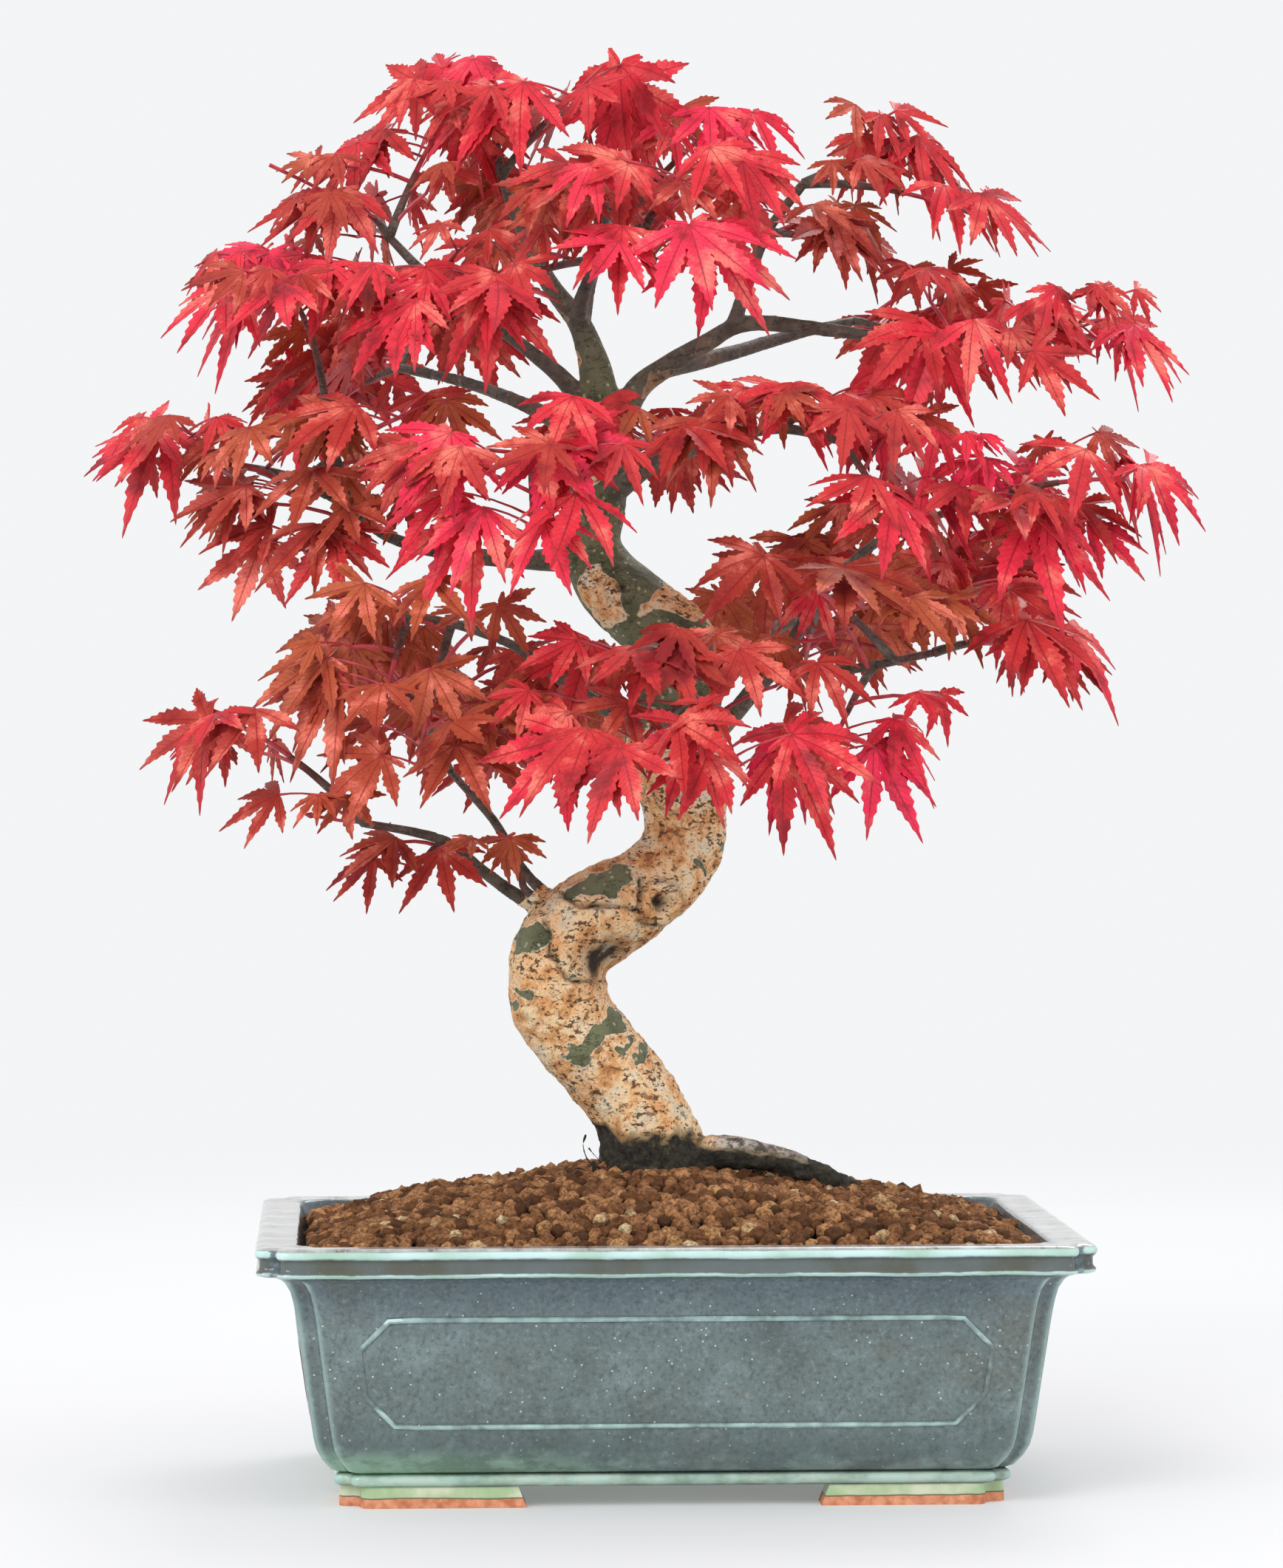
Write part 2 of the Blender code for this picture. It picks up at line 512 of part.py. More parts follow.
class Shoot:
    """One row of the growth plan, and where its twig leaves the limb."""

    def __init__(self, number, row):
        limb, lead, span, self.leaves, self.age = row
        self.name = f"shoot_{number + 1:02d}"
        self.span = span * LEAF_SPREAD * MILLIMETRE
        self.lead = Vector(lead) * MILLIMETRE + Vector((0, 0, crest()))
        self.outward = Vector((self.lead.x, self.lead.y, 0)).normalized()
        points = TRUNK[14:] if limb == "trunk" else LIMBS[limb]
        places, _ = planned(points, LIMB_GIRTH)
        self.start = self.leaving_point(places)
        along = (self.lead - self.start).normalized()
        self.side = along.cross(Vector((0, 0, 1))).normalized()
        self.hand = 1 if number % 2 else -1
        self.end = self.lead - self.petiole(0, 0)

    def leaving_point(self, places):
        """The point of the limb that the twig leaves from, sloping outwards to the leading leaf."""
        candidates = []
        for a, b in zip(places[1:], places[2:]):
            candidates += [a.lerp(b, step / 4) for step in range(4)]
        candidates.append(places[-1])
        return min(candidates, key=lambda place: (place - self.lead).length + 0.6 * max(0, place.z - self.lead.z))

    def petiole(self, node, half):
        """The leaf stalk from a node of the shoot, as a vector; leaves stand in opposite pairs."""
        hand = self.hand if half == 0 else -self.hand
        length = self.span * (0.34 + 0.05 * node)
        spread, forward = (0.80, 0.45) if node % 2 == 0 else (0.62, 0.75 if half == 0 else -0.1)
        direction = self.side * hand * spread + self.outward * forward + Vector((0, 0, 0.28))
        return direction.normalized() * length

    def path(self, bend):
        """The twig and stem from limb to last node, as eleven points on a curve."""
        reach = self.end - self.start
        middle = self.start + reach * 0.5 + Vector((0, 0, 0.10 * reach.length)) + bend * reach.length
        points = []
        for step in range(11):
            share = step / 10
            low, high = self.start.lerp(middle, share), middle.lerp(self.end, share)
            points.append(low.lerp(high, share))
        return points


WOODY_STEPS = 6


def make_tree(shoots, collection):
    """Trunk, roots, limbs and twigs, grown together as one body."""
    places, radii = planned(TRUNK, TRUNK_GIRTH)
    tree = tube("tree", places, radii, 12, collection)
    grown = []
    for number, points in enumerate(ROOTS):
        places, radii = planned(points, TRUNK_GIRTH)
        grown.append(tube(f"root_{number}", places, radii, 6, collection))
    for name, points in LIMBS.items():
        places, radii = planned(points, LIMB_GIRTH)
        grown.append(tube(name, places, radii, 6, collection))
    for shoot in shoots:
        woody = shoot.path(Vector())[: WOODY_STEPS + 1 : 3]
        radii = [TWIG_RADIUS * (1.25 - 0.18 * step) for step in range(len(woody))]
        grown.append(tube(shoot.name + "_twig", woody, radii, 4, collection))
    join_or_cut(tree, "UNION", grown)
    tree.data.set_sharp_from_angle(angle=math.radians(60))
    return tree


LOBE_TURNS = (0, 46, 94)
LOBE_LENGTHS = (0.62, 0.55, 0.36)
SINUS_LENGTH = 0.20


def blade_points(lobes=5):
    """The blade's outline: for each corner its turn from the midrib and its length over the span."""
    outline = []
    for corner in range(2 * lobes):
        lobe = corner / 2
        turns_round = lobe if lobe <= lobes / 2 else lobe - lobes
        if corner % 2 == 0:
            index = abs(int(turns_round))
            turn, length = LOBE_TURNS[index], LOBE_LENGTHS[index]
        else:
            index = int(abs(turns_round))
            after = LOBE_TURNS[index + 1] if index + 1 < len(LOBE_TURNS) else 180 + (180 - LOBE_TURNS[-1])
            turn = (LOBE_TURNS[index] + after) / 2
            length = SINUS_LENGTH if turn < 170 else SINUS_LENGTH * 0.4
        outline.append((math.copysign(turn, turns_round), length))
    return outline


def blade_shape(span, droop, placed, swell):
    """A drooping lobed blade: thick at the stalk and thin at its edge."""
    outline = blade_points()
    shape = bmesh.new()
    bmesh.ops.create_uvsphere(shape, u_segments=len(outline), v_segments=2, radius=1.0)
    for corner in shape.verts:
        if abs(corner.co.z) > 0.5:
            corner.co = (0, 0, math.copysign(BLADE_THICKNESS / 2 + swell, corner.co.z))
            continue
        turn = math.atan2(corner.co.y, corner.co.x) % math.tau
        degrees, length = outline[round(turn / math.tau * len(outline)) % len(outline)]
        reach = span * length + swell
        corner.co.x = reach * math.cos(math.radians(degrees))
        corner.co.y = reach * math.sin(math.radians(degrees))
        corner.co.z = -droop * reach * (length / LOBE_LENGTHS[0])
    shape.transform(placed)
    return shape


def stalk_shape(start, end, swell):
    """A thin three-sided leaf stalk."""
    reach = end - start
    radius = PETIOLE_RADIUS + swell
    shape = bmesh.new()
    bmesh.ops.create_cone(shape, cap_ends=True, segments=3, radius1=radius, radius2=radius,
                          depth=reach.length)
    turn = reach.to_track_quat("Z", "Y").to_matrix().to_4x4()
    shape.transform(Matrix.Translation((start + end) / 2) @ turn)
    return shape


def blade_frame(joint, stalk, shoot, turn, tilt):
    """Where a blade hangs: its midrib falls outwards from the stalk's end."""
    flat = Vector((stalk.x, stalk.y, 0)).normalized() * 0.45 + shoot.outward * 0.30
    midrib = (flat - Vector((0, 0, 0.75 + tilt))).normalized()
    midrib.rotate(Matrix.Rotation(math.radians(turn), 3, shoot.outward))
    facing = (shoot.outward + Vector((0, 0, 0.8)) + flat * 0.3).normalized()
    normal = (facing - midrib * facing.dot(midrib)).normalized()
    across = normal.cross(midrib)
    axes = Matrix((midrib, across, normal)).transposed().to_4x4()
    return Matrix.Translation(joint) @ axes


def object_of(shape, name, collection):
    mesh = bpy.data.meshes.new(name)
    shape.to_mesh(mesh)
    shape.free()
    return object_from(name, mesh, collection)


def tree_of(shape):
    search = BVHTree.FromBMesh(shape)
    shape.free()
    return search


def surface_of(made):
    shape = bmesh.new()
    shape.from_mesh(made.data)
    return tree_of(shape)


def is_clear(shape_tree, occupied):
    return not any(shape_tree.overlap(other) for other in occupied)


# Ways to hang a leaf (turn, tilt, size) and to lead a stem (sideways, upwards), best first
HANGINGS = [(turn, tilt, size) for size in (1.0, 0.85, 0.7) for tilt in (0.0, 0.5, -0.4)
            for turn in (0, 18, -18, 36, -36)]
BENDS = [(0.0, 0.0)] + [(size * math.cos(turn * math.tau / 8), size * math.sin(turn * math.tau / 8))
                        for size in (0.08, 0.16, 0.24, 0.34) for turn in range(8)]


def make_stem(shoot, occupied, collection):
    """The green stem from the twig's end to the last leaves, led clear of all that is there."""
    straight = shoot.path(Vector())
    twig_end = straight[WOODY_STEPS]
    onwards = (twig_end - straight[WOODY_STEPS - 1]).normalized()
    for sideways, upwards in BENDS:
        points = shoot.path(shoot.side * sideways + Vector((0, 0, upwards)))[WOODY_STEPS:]
        points[0] = twig_end + onwards * 2 * CLEARANCE
        radii = [STEM_RADIUS * (1 - 0.07 * step) for step in range(len(points))]
        stem = tube(shoot.name, points, radii, 4, collection)
        if is_clear(surface_of(stem), occupied):
            return stem, points
        remove_object(stem)
    raise ValueError(shoot.name + " has no clear way for its stem")


def make_shoot(shoot, occupied, chance, collection):
    """A shoot: green stem, leaf stalks and blades as one body, clear of all that is there."""
    stem, points = make_stem(shoot, occupied, collection)
    leaves, own = [], []
    for leaf in range(shoot.leaves):
        node, half = divmod(leaf, 2)
        root = points[-1 - node].lerp(points[-2 - node], 0.25)
        stalk = shoot.petiole(node, half)
        span = shoot.span
        if leaf:
            stalk.rotate(Matrix.Rotation(chance.uniform(-0.35, 0.35), 3, "Z"))
            stalk *= chance.uniform(0.85, 1.15)
            span *= chance.uniform(0.72, 0.98)
        droop = chance.uniform(0.10, 0.35)
        for turn, tilt, size in HANGINGS:
            placed = blade_frame(root + stalk, stalk, shoot, turn, tilt)
            joint = root + stalk
            blade = tree_of(blade_shape(span * size, droop, placed, CLEARANCE))
            stalk_way = tree_of(stalk_shape(root + stalk * 0.15, joint, CLEARANCE))
            if is_clear(blade, occupied + own) and is_clear(stalk_way, occupied):
                own.append(blade)
                leaves.append(object_of(blade_shape(span * size, droop, placed, 0), "blade", collection))
                leaves.append(object_of(stalk_shape(root, joint, 0), "stalk", collection))
                break
    join_or_cut(stem, "UNION", leaves)
    occupied.append(surface_of(stem))
    return stem


def move_origin(made, place):
    """Puts an object's origin at a place, with its shape where it was."""
    made.data.transform(Matrix.Translation(-place))
    made.location = place


def centre_whole(parts):
    """Parents the parts to an empty that brings the middle of the whole over the origin."""
    bpy.context.view_layer.update()
    corners = []
    for made in parts:
        corners += [made.matrix_world @ corner.co for corner in evaluated_mesh(made).vertices]
    middle = [(max(c[axis] for c in corners) + min(c[axis] for c in corners)) / 2 for axis in (0, 1)]
    stand = bpy.data.objects.new("bonsai_stand", None)
    bpy.context.scene.collection.objects.link(stand)
    stand.location = (-middle[0], -middle[1], 0)
    for made in parts:
        made.parent = stand


def main():
    for unwanted in list(bpy.data.objects):
        bpy.data.objects.remove(unwanted)
    parts = new_collection(OBJECT_NAME)
    glaze = material("glaze", colour(0.075, 0.115, 0.125), 0.35)
    net = material("net", colour(0.02, 0.02, 0.022), 0.6)
    wire = material("wire", colour(0.55, 0.36, 0.22), 0.35, 1.0)
    granules = material("granules", colour(0.19, 0.085, 0.035), 0.95)
    bark = material("bark", colour(0.50, 0.36, 0.22), 0.85)

    pot = make_pot(parts)
    pot.data.materials.append(glaze)
    pieces = [pot]
    for word, side in (("left", -1), ("right", 1)):
        drain_mesh = make_drain_mesh("drain_mesh_" + word, side, parts)
        drain_mesh.data.materials.append(net)
        clip = make_clip("mesh_clip_" + word, side, parts)
        clip.data.materials.append(wire)
        pieces += [drain_mesh, clip]
    soil = make_soil(parts)
    soil.data.materials.append(granules)

    shoots = [Shoot(number, row) for number, row in enumerate(SHOOTS)]
    tree = make_tree(shoots, parts)
    tree.data.materials.append(bark)
    pieces += [soil, tree]

    occupied = [surface_of(soil), surface_of(tree)]
    chance = random.Random(11)
    for shoot in shoots:
        made = make_shoot(shoot, occupied, chance, parts)
        age = shoot.age
        leaf = material(shoot.name, colour(0.62 - 0.36 * age, 0.035 + 0.02 * age, 0.06 - 0.04 * age), 0.5)
        made.data.materials.append(leaf)
        move_origin(made, shoot.start)
        pieces.append(made)
    move_origin(tree, Vector((0, 0, crest())))
    centre_whole(pieces)


main()
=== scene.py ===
"""A Japanese maple bonsai in a glazed stoneware pot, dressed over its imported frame.

Metres, +Z up, the pot's front facing -Y. The sections follow the tree as it is potted up: the room, the pot,
the net over its drain holes, the soil, the wood, and the leafy shoots.
"""
import json
import math
import random

import bmesh
import bpy
from mathutils import Matrix, Vector, kdtree, noise

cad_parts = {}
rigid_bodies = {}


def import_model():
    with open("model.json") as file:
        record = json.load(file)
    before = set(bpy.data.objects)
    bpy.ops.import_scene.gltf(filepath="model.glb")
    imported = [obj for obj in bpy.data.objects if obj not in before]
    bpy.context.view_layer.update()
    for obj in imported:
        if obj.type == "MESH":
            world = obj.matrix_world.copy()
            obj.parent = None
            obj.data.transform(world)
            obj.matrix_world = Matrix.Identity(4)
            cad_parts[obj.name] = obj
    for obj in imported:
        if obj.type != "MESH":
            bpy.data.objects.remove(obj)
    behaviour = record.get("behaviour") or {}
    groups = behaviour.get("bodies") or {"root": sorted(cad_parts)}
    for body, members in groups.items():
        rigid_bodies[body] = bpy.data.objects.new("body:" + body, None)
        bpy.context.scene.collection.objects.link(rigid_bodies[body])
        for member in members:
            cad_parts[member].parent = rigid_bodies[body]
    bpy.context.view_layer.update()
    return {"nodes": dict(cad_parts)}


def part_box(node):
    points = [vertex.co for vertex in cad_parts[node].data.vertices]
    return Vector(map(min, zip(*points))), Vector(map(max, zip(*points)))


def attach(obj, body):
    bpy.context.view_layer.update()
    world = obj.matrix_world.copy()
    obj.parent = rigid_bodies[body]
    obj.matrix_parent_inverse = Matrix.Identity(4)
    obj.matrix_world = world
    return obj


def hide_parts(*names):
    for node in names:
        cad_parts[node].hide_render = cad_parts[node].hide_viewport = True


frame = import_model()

# ---------------------------------------------------------------------------------------------------------
# The room: a pale sweep that fades into a white surround, one large soft window at the front, a softer one
# at the right, and a rim light high behind the crown that makes the thin leaves glow.
# ---------------------------------------------------------------------------------------------------------
pot_low, pot_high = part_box("pot")
pot_middle = Vector(((pot_low.x + pot_high.x) / 2, (pot_low.y + pot_high.y) / 2, 0))
ROOM_WHITE = (0.905, 0.91, 0.92, 1)
FLOOR_REACH = 3.0


def put(tree, kind, inputs=(), **settings):
    """Adds a node. A value for an input is set there, and another node's socket is linked to it."""
    made = tree.nodes.new(kind)
    for name, value in settings.items():
        setattr(made, name, value)
    for name, value in dict(inputs).items():
        if isinstance(value, bpy.types.NodeSocket):
            tree.links.new(value, made.inputs[name])
        else:
            made.inputs[name].default_value = value
    return made


def ramp(tree, factor, stops, smooth=True):
    """A colour ramp over stops of (position, colour or grey)."""
    made = put(tree, "ShaderNodeValToRGB", {"Fac": factor})
    made.color_ramp.interpolation = "EASE" if smooth else "LINEAR"
    while len(made.color_ramp.elements) < len(stops):
        made.color_ramp.elements.new(1.0)
    for element, (position, tint) in zip(made.color_ramp.elements, stops):
        element.position = position
        element.color = (*tint, 1) if isinstance(tint, tuple) else (tint, tint, tint, 1)
    return made.outputs["Color"]


def tinted(tree, amount, under, over):
    """Lays one colour over another by an amount from 0 to 1."""
    inputs = {0: amount, 6: under, 7: over}
    for slot_index in (6, 7):
        if isinstance(inputs[slot_index], tuple):
            inputs[slot_index] = (*inputs[slot_index][:3], 1)
    return put(tree, "ShaderNodeMix", inputs, data_type="RGBA", clamp_factor=True).outputs[2]


def sums(tree, operation, first, second=0.0):
    return put(tree, "ShaderNodeMath", {0: first, 1: second}, operation=operation).outputs[0]


def times(tree, first, second):
    return sums(tree, "MULTIPLY", first, second)


def plus(tree, first, second):
    return sums(tree, "ADD", first, second)


def grain(tree, place, scale, detail=4.0, rough=0.5, stretch=(1, 1, 1), distortion=0.0):
    """Noise over a place, finer with a greater scale and drawn out along an axis with a small stretch."""
    spread = put(tree, "ShaderNodeMapping", {"Vector": place, "Scale": stretch}).outputs[0]
    return put(tree, "ShaderNodeTexNoise", {"Vector": spread, "Scale": scale, "Detail": detail,
                                            "Roughness": rough, "Distortion": distortion}).outputs["Fac"]


def cells(tree, place, scale):
    """How far a place is from the nearest of many scattered points, for dots and pits."""
    return put(tree, "ShaderNodeTexVoronoi", {"Vector": place, "Scale": scale}).outputs["Distance"]


def painted(tree, name, output="Fac"):
    """A value laid on the mesh's points when it was modelled."""
    return put(tree, "ShaderNodeAttribute", attribute_name=name).outputs[output]


def new_finish(name, roughness, metallic=0.0):
    """A material with its node tree, its shader and its Object coordinates."""
    made = bpy.data.materials.new(name)
    made.use_nodes = True
    tree = made.node_tree
    shader = tree.nodes["Principled BSDF"]
    shader.inputs["Roughness"].default_value = roughness
    shader.inputs["Metallic"].default_value = metallic
    return made, tree, shader, put(tree, "ShaderNodeTexCoord").outputs["Object"]


def swing(tree, pattern, reach):
    """A pattern swung about zero, to make another pattern's edge wander."""
    return times(tree, sums(tree, "SUBTRACT", pattern, 0.5), reach)


def feed(tree, socket, shader, name):
    tree.links.new(socket, shader.inputs[name])


def relief(tree, shader, height, strength, distance):
    """Fine surface relief from a height, on the shader's normal."""
    bump = put(tree, "ShaderNodeBump", {"Height": height, "Strength": strength, "Distance": distance})
    tree.links.new(bump.outputs["Normal"], shader.inputs["Normal"])


bpy.ops.object.select_all(action="DESELECT")
bpy.ops.mesh.primitive_circle_add(vertices=96, radius=FLOOR_REACH, fill_type="NGON", location=pot_middle)
floor = bpy.context.object
floor.name = "studio_floor"
floor_white, tree, shader, place = new_finish("floor_white", 0.75)
shader.inputs["Base Color"].default_value = (0.61, 0.615, 0.625, 1)
shader.inputs["Emission Color"].default_value = (1, 1, 1, 1)
shader.inputs["Emission Strength"].default_value = 0.19
shader.inputs["Specular IOR Level"].default_value = 0.2
from_middle = put(tree, "ShaderNodeVectorMath", {0: place}, operation="LENGTH").outputs["Value"]
fading = ramp(tree, sums(tree, "DIVIDE", from_middle, FLOOR_REACH), [(0.12, 1.0), (0.48, 0.0)])
feed(tree, fading, shader, "Alpha")
floor.data.materials.append(floor_white)

world = bpy.data.worlds.new("white_room")
world.use_nodes = True
world.node_tree.nodes["Background"].inputs["Color"].default_value = ROOM_WHITE
bpy.context.scene.world = world
bpy.context.scene.view_settings.view_transform = "Standard"


def soft_window(name, place, aim, size, power):
    bpy.ops.object.light_add(type="AREA", location=pot_middle + Vector(place))
    lamp = bpy.context.object
    lamp.name = name
    lamp.data.size = size
    lamp.data.energy = power
    lamp.rotation_euler = (pot_middle + Vector(aim) - lamp.location).to_track_quat("-Z", "Y").to_euler()


soft_window("front_window", (-0.9, -1.5, 1.3), (0, 0, 0.22), 1.0, 20)
soft_window("right_window", (1.5, -0.8, 0.7), (0, 0, 0.25), 0.9, 3.5)
soft_window("rim_light", (0.5, 1.3, 1.4), (0, 0, 0.3), 0.8, 9)

bpy.ops.object.camera_add(location=pot_middle + Vector((-0.103, -1.792, 0.2493)),
                          rotation=(math.radians(90 - 0.81), 0, math.radians(-3.08)))
camera = bpy.context.object
camera.data.sensor_width = 36
camera.data.lens = 127.6
bpy.context.scene.camera = camera

# ---------------------------------------------------------------------------------------------------------
# The pot: one piece of stoneware with a banded lip, notched corners, a raised panel line on each wall and
# four feet. It is thrown up ring by ring from a notched plate, then cut, footed and dipped in glaze.
# ---------------------------------------------------------------------------------------------------------
HALF_LENGTH, HALF_DEPTH = (pot_high.x - pot_low.x) / 2, (pot_high.y - pot_low.y) / 2
LIP_TOP = pot_high.z
NOTCH = 0.0066
FOOT_TOP, RIB_TOP, BAND_FOOT = 0.0065, 0.0108, 0.0737
INNER_FLOOR, INNER_ROUND, WALL = 0.0135, 0.012, 0.007
DRAIN_RADIUS, DRAIN_OFFSET = 0.011, 0.064
FOOT_WIDTH, LONG_FOOT, SHORT_FOOT = 0.012, 0.059, 0.038
RIDGE = 0.0011
WAVINESS = 0.0002


def wall_inset(height):
    """How far the wall stands in from the lip: it flares under the lip and turns in at its foot."""
    drop = 1 - min(max((height - 0.010) / (BAND_FOOT - 0.010), 0.0), 1.0)
    flare = 0.0038 * (1 - math.exp(-drop / 0.10))
    return 0.0085 + 0.0078 * drop ** 1.5 + flare + 0.0052 * max(0.0, (drop - 0.82) / 0.18) ** 2


def pick(piece, *others):
    """Selects a piece, makes it the active one, and selects any others with it."""
    bpy.ops.object.select_all(action="DESELECT")
    for one in (piece, *others):
        one.select_set(True)
    bpy.context.view_layer.objects.active = piece


def apply_modifier(piece, kind, **settings):
    """Adds a modifier with its settings and applies it."""
    pick(piece)
    modifier = piece.modifiers.new("shape", kind)
    for name, value in settings.items():
        setattr(modifier, name, value)
    bpy.ops.object.modifier_apply(modifier=modifier.name)


def in_edit(piece, action="SELECT"):
    """Opens a piece alone for modelling, with all of it selected, or none of it."""
    bpy.ops.object.mode_set(mode="OBJECT")
    pick(piece)
    bpy.ops.object.mode_set(mode="EDIT")
    bpy.ops.mesh.select_all(action=action)


def faces_out():
    """Turns every face of the piece being modelled outwards, and leaves edit mode."""
    bpy.ops.mesh.select_all(action="SELECT")
    bpy.ops.mesh.normals_make_consistent(inside=False)
    bpy.ops.object.mode_set(mode="OBJECT")


def notched_plate(name, half_x, half_y, height):
    """A thin plate with stepped, softened corners and close points along its straight edges."""
    bpy.ops.object.select_all(action="DESELECT")
    bpy.ops.mesh.primitive_plane_add(size=2, location=pot_middle + Vector((0, 0, height)))
    plate = bpy.context.object
    plate.name = name
    bpy.ops.object.mode_set(mode="EDIT")
    bpy.ops.transform.resize(value=(half_x, half_y, 1))
    bpy.ops.mesh.bevel(offset=NOTCH, segments=2, profile=0.0, affect="VERTICES")
    bpy.ops.mesh.bevel(offset=0.0029, segments=6, profile=0.5, affect="VERTICES")
    shape = bmesh.from_edit_mesh(plate.data)
    for edge in shape.edges:
        edge.select_set(edge.calc_length() > 0.02)
    bpy.ops.mesh.subdivide(number_cuts=64)
    bpy.ops.mesh.select_all(action="SELECT")
    return plate


def raise_rings(profile, was=None):
    """Draws the selected face up through rings of (inset, height), each scaled to its inset from the lip."""
    for inset, up in profile:
        if was is None:
            was = (0.0, up)
        else:
            bpy.ops.mesh.extrude_region_move(TRANSFORM_OT_translate={"value": (0, 0, up - was[1])})
        scale_x = (HALF_LENGTH - inset) / (HALF_LENGTH - was[0])
        scale_y = (HALF_DEPTH - inset) / (HALF_DEPTH - was[0])
        scale = (scale_x, scale_y, 1)
        bpy.ops.transform.resize(value=scale, center_override=(pot_middle.x, pot_middle.y, up))
        was = (inset, up)
    return was


def round_ring(piece, half_x, half_y, rounding):
    """Sets the selected ring to a rectangle with rounded corners, for the opening inside the lip."""
    shape = bmesh.from_edit_mesh(piece.data)
    for vert in shape.verts:
        if not vert.select:
            continue
        x, y = abs(vert.co.x), abs(vert.co.y)
        past = Vector((x - (half_x - rounding), y - (half_y - rounding)))
        if min(past) > 0:
            past = past.normalized() * rounding
            x, y = half_x - rounding + past.x, half_y - rounding + past.y
        elif past.x > past.y:
            x = half_x
        else:
            y = half_y
        vert.co.x, vert.co.y = math.copysign(x, vert.co.x), math.copysign(y, vert.co.y)
    bmesh.update_edit_mesh(piece.data)


base = wall_inset(0.010)
wall_profile = [(wall_inset(RIB_TOP + 0.0012 + (0.0705 - RIB_TOP) * step / 18),
                 RIB_TOP + 0.0012 + (0.0705 - RIB_TOP) * step / 18) for step in range(18)]
outer_profile = [(base + 0.0012, 0.0066), (base + 0.0002, 0.0069), (base - 0.0007, 0.0076),
                 (base - 0.0011, 0.0084), (base - 0.0011, 0.0094), (base - 0.0007, 0.0101),
                 (base + 0.0002, 0.0106), (base + 0.0006, 0.0109)] + wall_profile + [
                 (0.0092, 0.0712), (0.0078, 0.0724), (0.0058, 0.0732), (0.0036, 0.0736), (0.0020, 0.0738),
                 (0.0008, 0.0742), (0.0003, 0.0748), (0.0004, 0.0755), (0.0010, 0.0761), (0.0013, 0.0768),
                 (0.0013, 0.0780), (0.0013, 0.0788), (0.0009, 0.0794), (0.0003, 0.0799), (0.0000, 0.0806),
                 (0.0000, 0.0814), (0.0003, 0.0820), (0.0009, 0.0825), (0.0018, 0.0829), (0.0032, 0.0830),
                 (0.0055, 0.0828), (0.0080, 0.0827), (0.0105, 0.0828)]
inner_profile = [(wall_inset(up) + WALL, up) for up in (0.0772, 0.070, 0.060, 0.048, 0.036, 0.026, 0.018)]
inner_profile.append((wall_inset(INNER_FLOOR) + WALL + 0.003, INNER_FLOOR))

pot = notched_plate("glazed_pot", HALF_LENGTH, HALF_DEPTH, 0.0066)
lip_edge = raise_rings([(base + 0.004, 0.0066)] + outer_profile)
lip_edge = raise_rings([(0.0123, 0.0827)], lip_edge)
round_ring(pot, HALF_LENGTH - 0.0123, HALF_DEPTH - 0.0123, INNER_ROUND)
lip_edge = raise_rings([(0.0129, 0.0823), (0.0133, 0.0815), (0.0136, 0.0800)] + inner_profile, lip_edge)
faces_out()


def cut_or_join(piece, operation, tools):
    """Cuts the tools out of a piece, or fuses them with it, and clears them away."""
    for tool in tools:
        apply_modifier(piece, "BOOLEAN", operation=operation, object=tool)
        bpy.data.objects.remove(tool)


def settle(piece):
    """Lays a finished piece's place into its mesh, with the object at the origin."""
    pick(piece)
    bpy.ops.object.transform_apply(location=True, rotation=True, scale=True)


def block(name, low, high):
    """A plain cutter between two corners, measured from the middle of the pot."""
    low, high = pot_middle + Vector(low), pot_middle + Vector(high)
    bpy.ops.mesh.primitive_cube_add(size=1, location=(low + high) / 2, scale=high - low)
    bpy.context.object.name = name
    return bpy.context.object


def slanted_gap(name, long_way, half_gap):
    """The gap between two feet, wider at its top where the feet's ends slope inwards."""
    reach = 0.2
    low, high = (-half_gap, -reach, -0.002), (half_gap, reach, FOOT_TOP + 0.0005)
    if not long_way:
        low, high = (-reach, -half_gap, -0.002), (reach, half_gap, FOOT_TOP + 0.0005)
    gap = block(name, low, high)
    in_edit(gap, "DESELECT")
    shape = bmesh.from_edit_mesh(gap.data)
    for face in shape.faces:
        face.select_set(face.normal.z > 0.5)
    widen = 1 + 0.0035 / half_gap
    bpy.ops.transform.resize(value=(widen, 1, 1) if long_way else (1, widen, 1))
    bpy.ops.object.mode_set(mode="OBJECT")
    return gap


# The feet: a low ring with the same notched corners, cut through on all four sides
foot_inset = base + 0.0006
feet = notched_plate("feet", HALF_LENGTH - foot_inset, HALF_DEPTH - foot_inset, 0.0)
bpy.ops.mesh.extrude_region_move(TRANSFORM_OT_translate={"value": (0, 0, FOOT_TOP + 0.0007)})
faces_out()
inside = (HALF_LENGTH - foot_inset - FOOT_WIDTH, HALF_DEPTH - foot_inset - FOOT_WIDTH)
cut_or_join(feet, "DIFFERENCE", [
    block("under_floor", (-inside[0], -inside[1], -0.002), (inside[0], inside[1], 0.02)),
    slanted_gap("long_gap", True, HALF_LENGTH - foot_inset - LONG_FOOT),
    slanted_gap("short_gap", False, HALF_DEPTH - foot_inset - SHORT_FOOT)])
apply_modifier(feet, "BEVEL", width=0.0007, segments=2, limit_method="ANGLE")

# The drain holes
drains = []
for side in (-1, 1):
    place = pot_middle + Vector((side * DRAIN_OFFSET, 0, 0.01))
    bpy.ops.mesh.primitive_cylinder_add(vertices=48, radius=DRAIN_RADIUS, depth=0.02, location=place)
    drains.append(bpy.context.object)
cut_or_join(pot, "DIFFERENCE", drains)


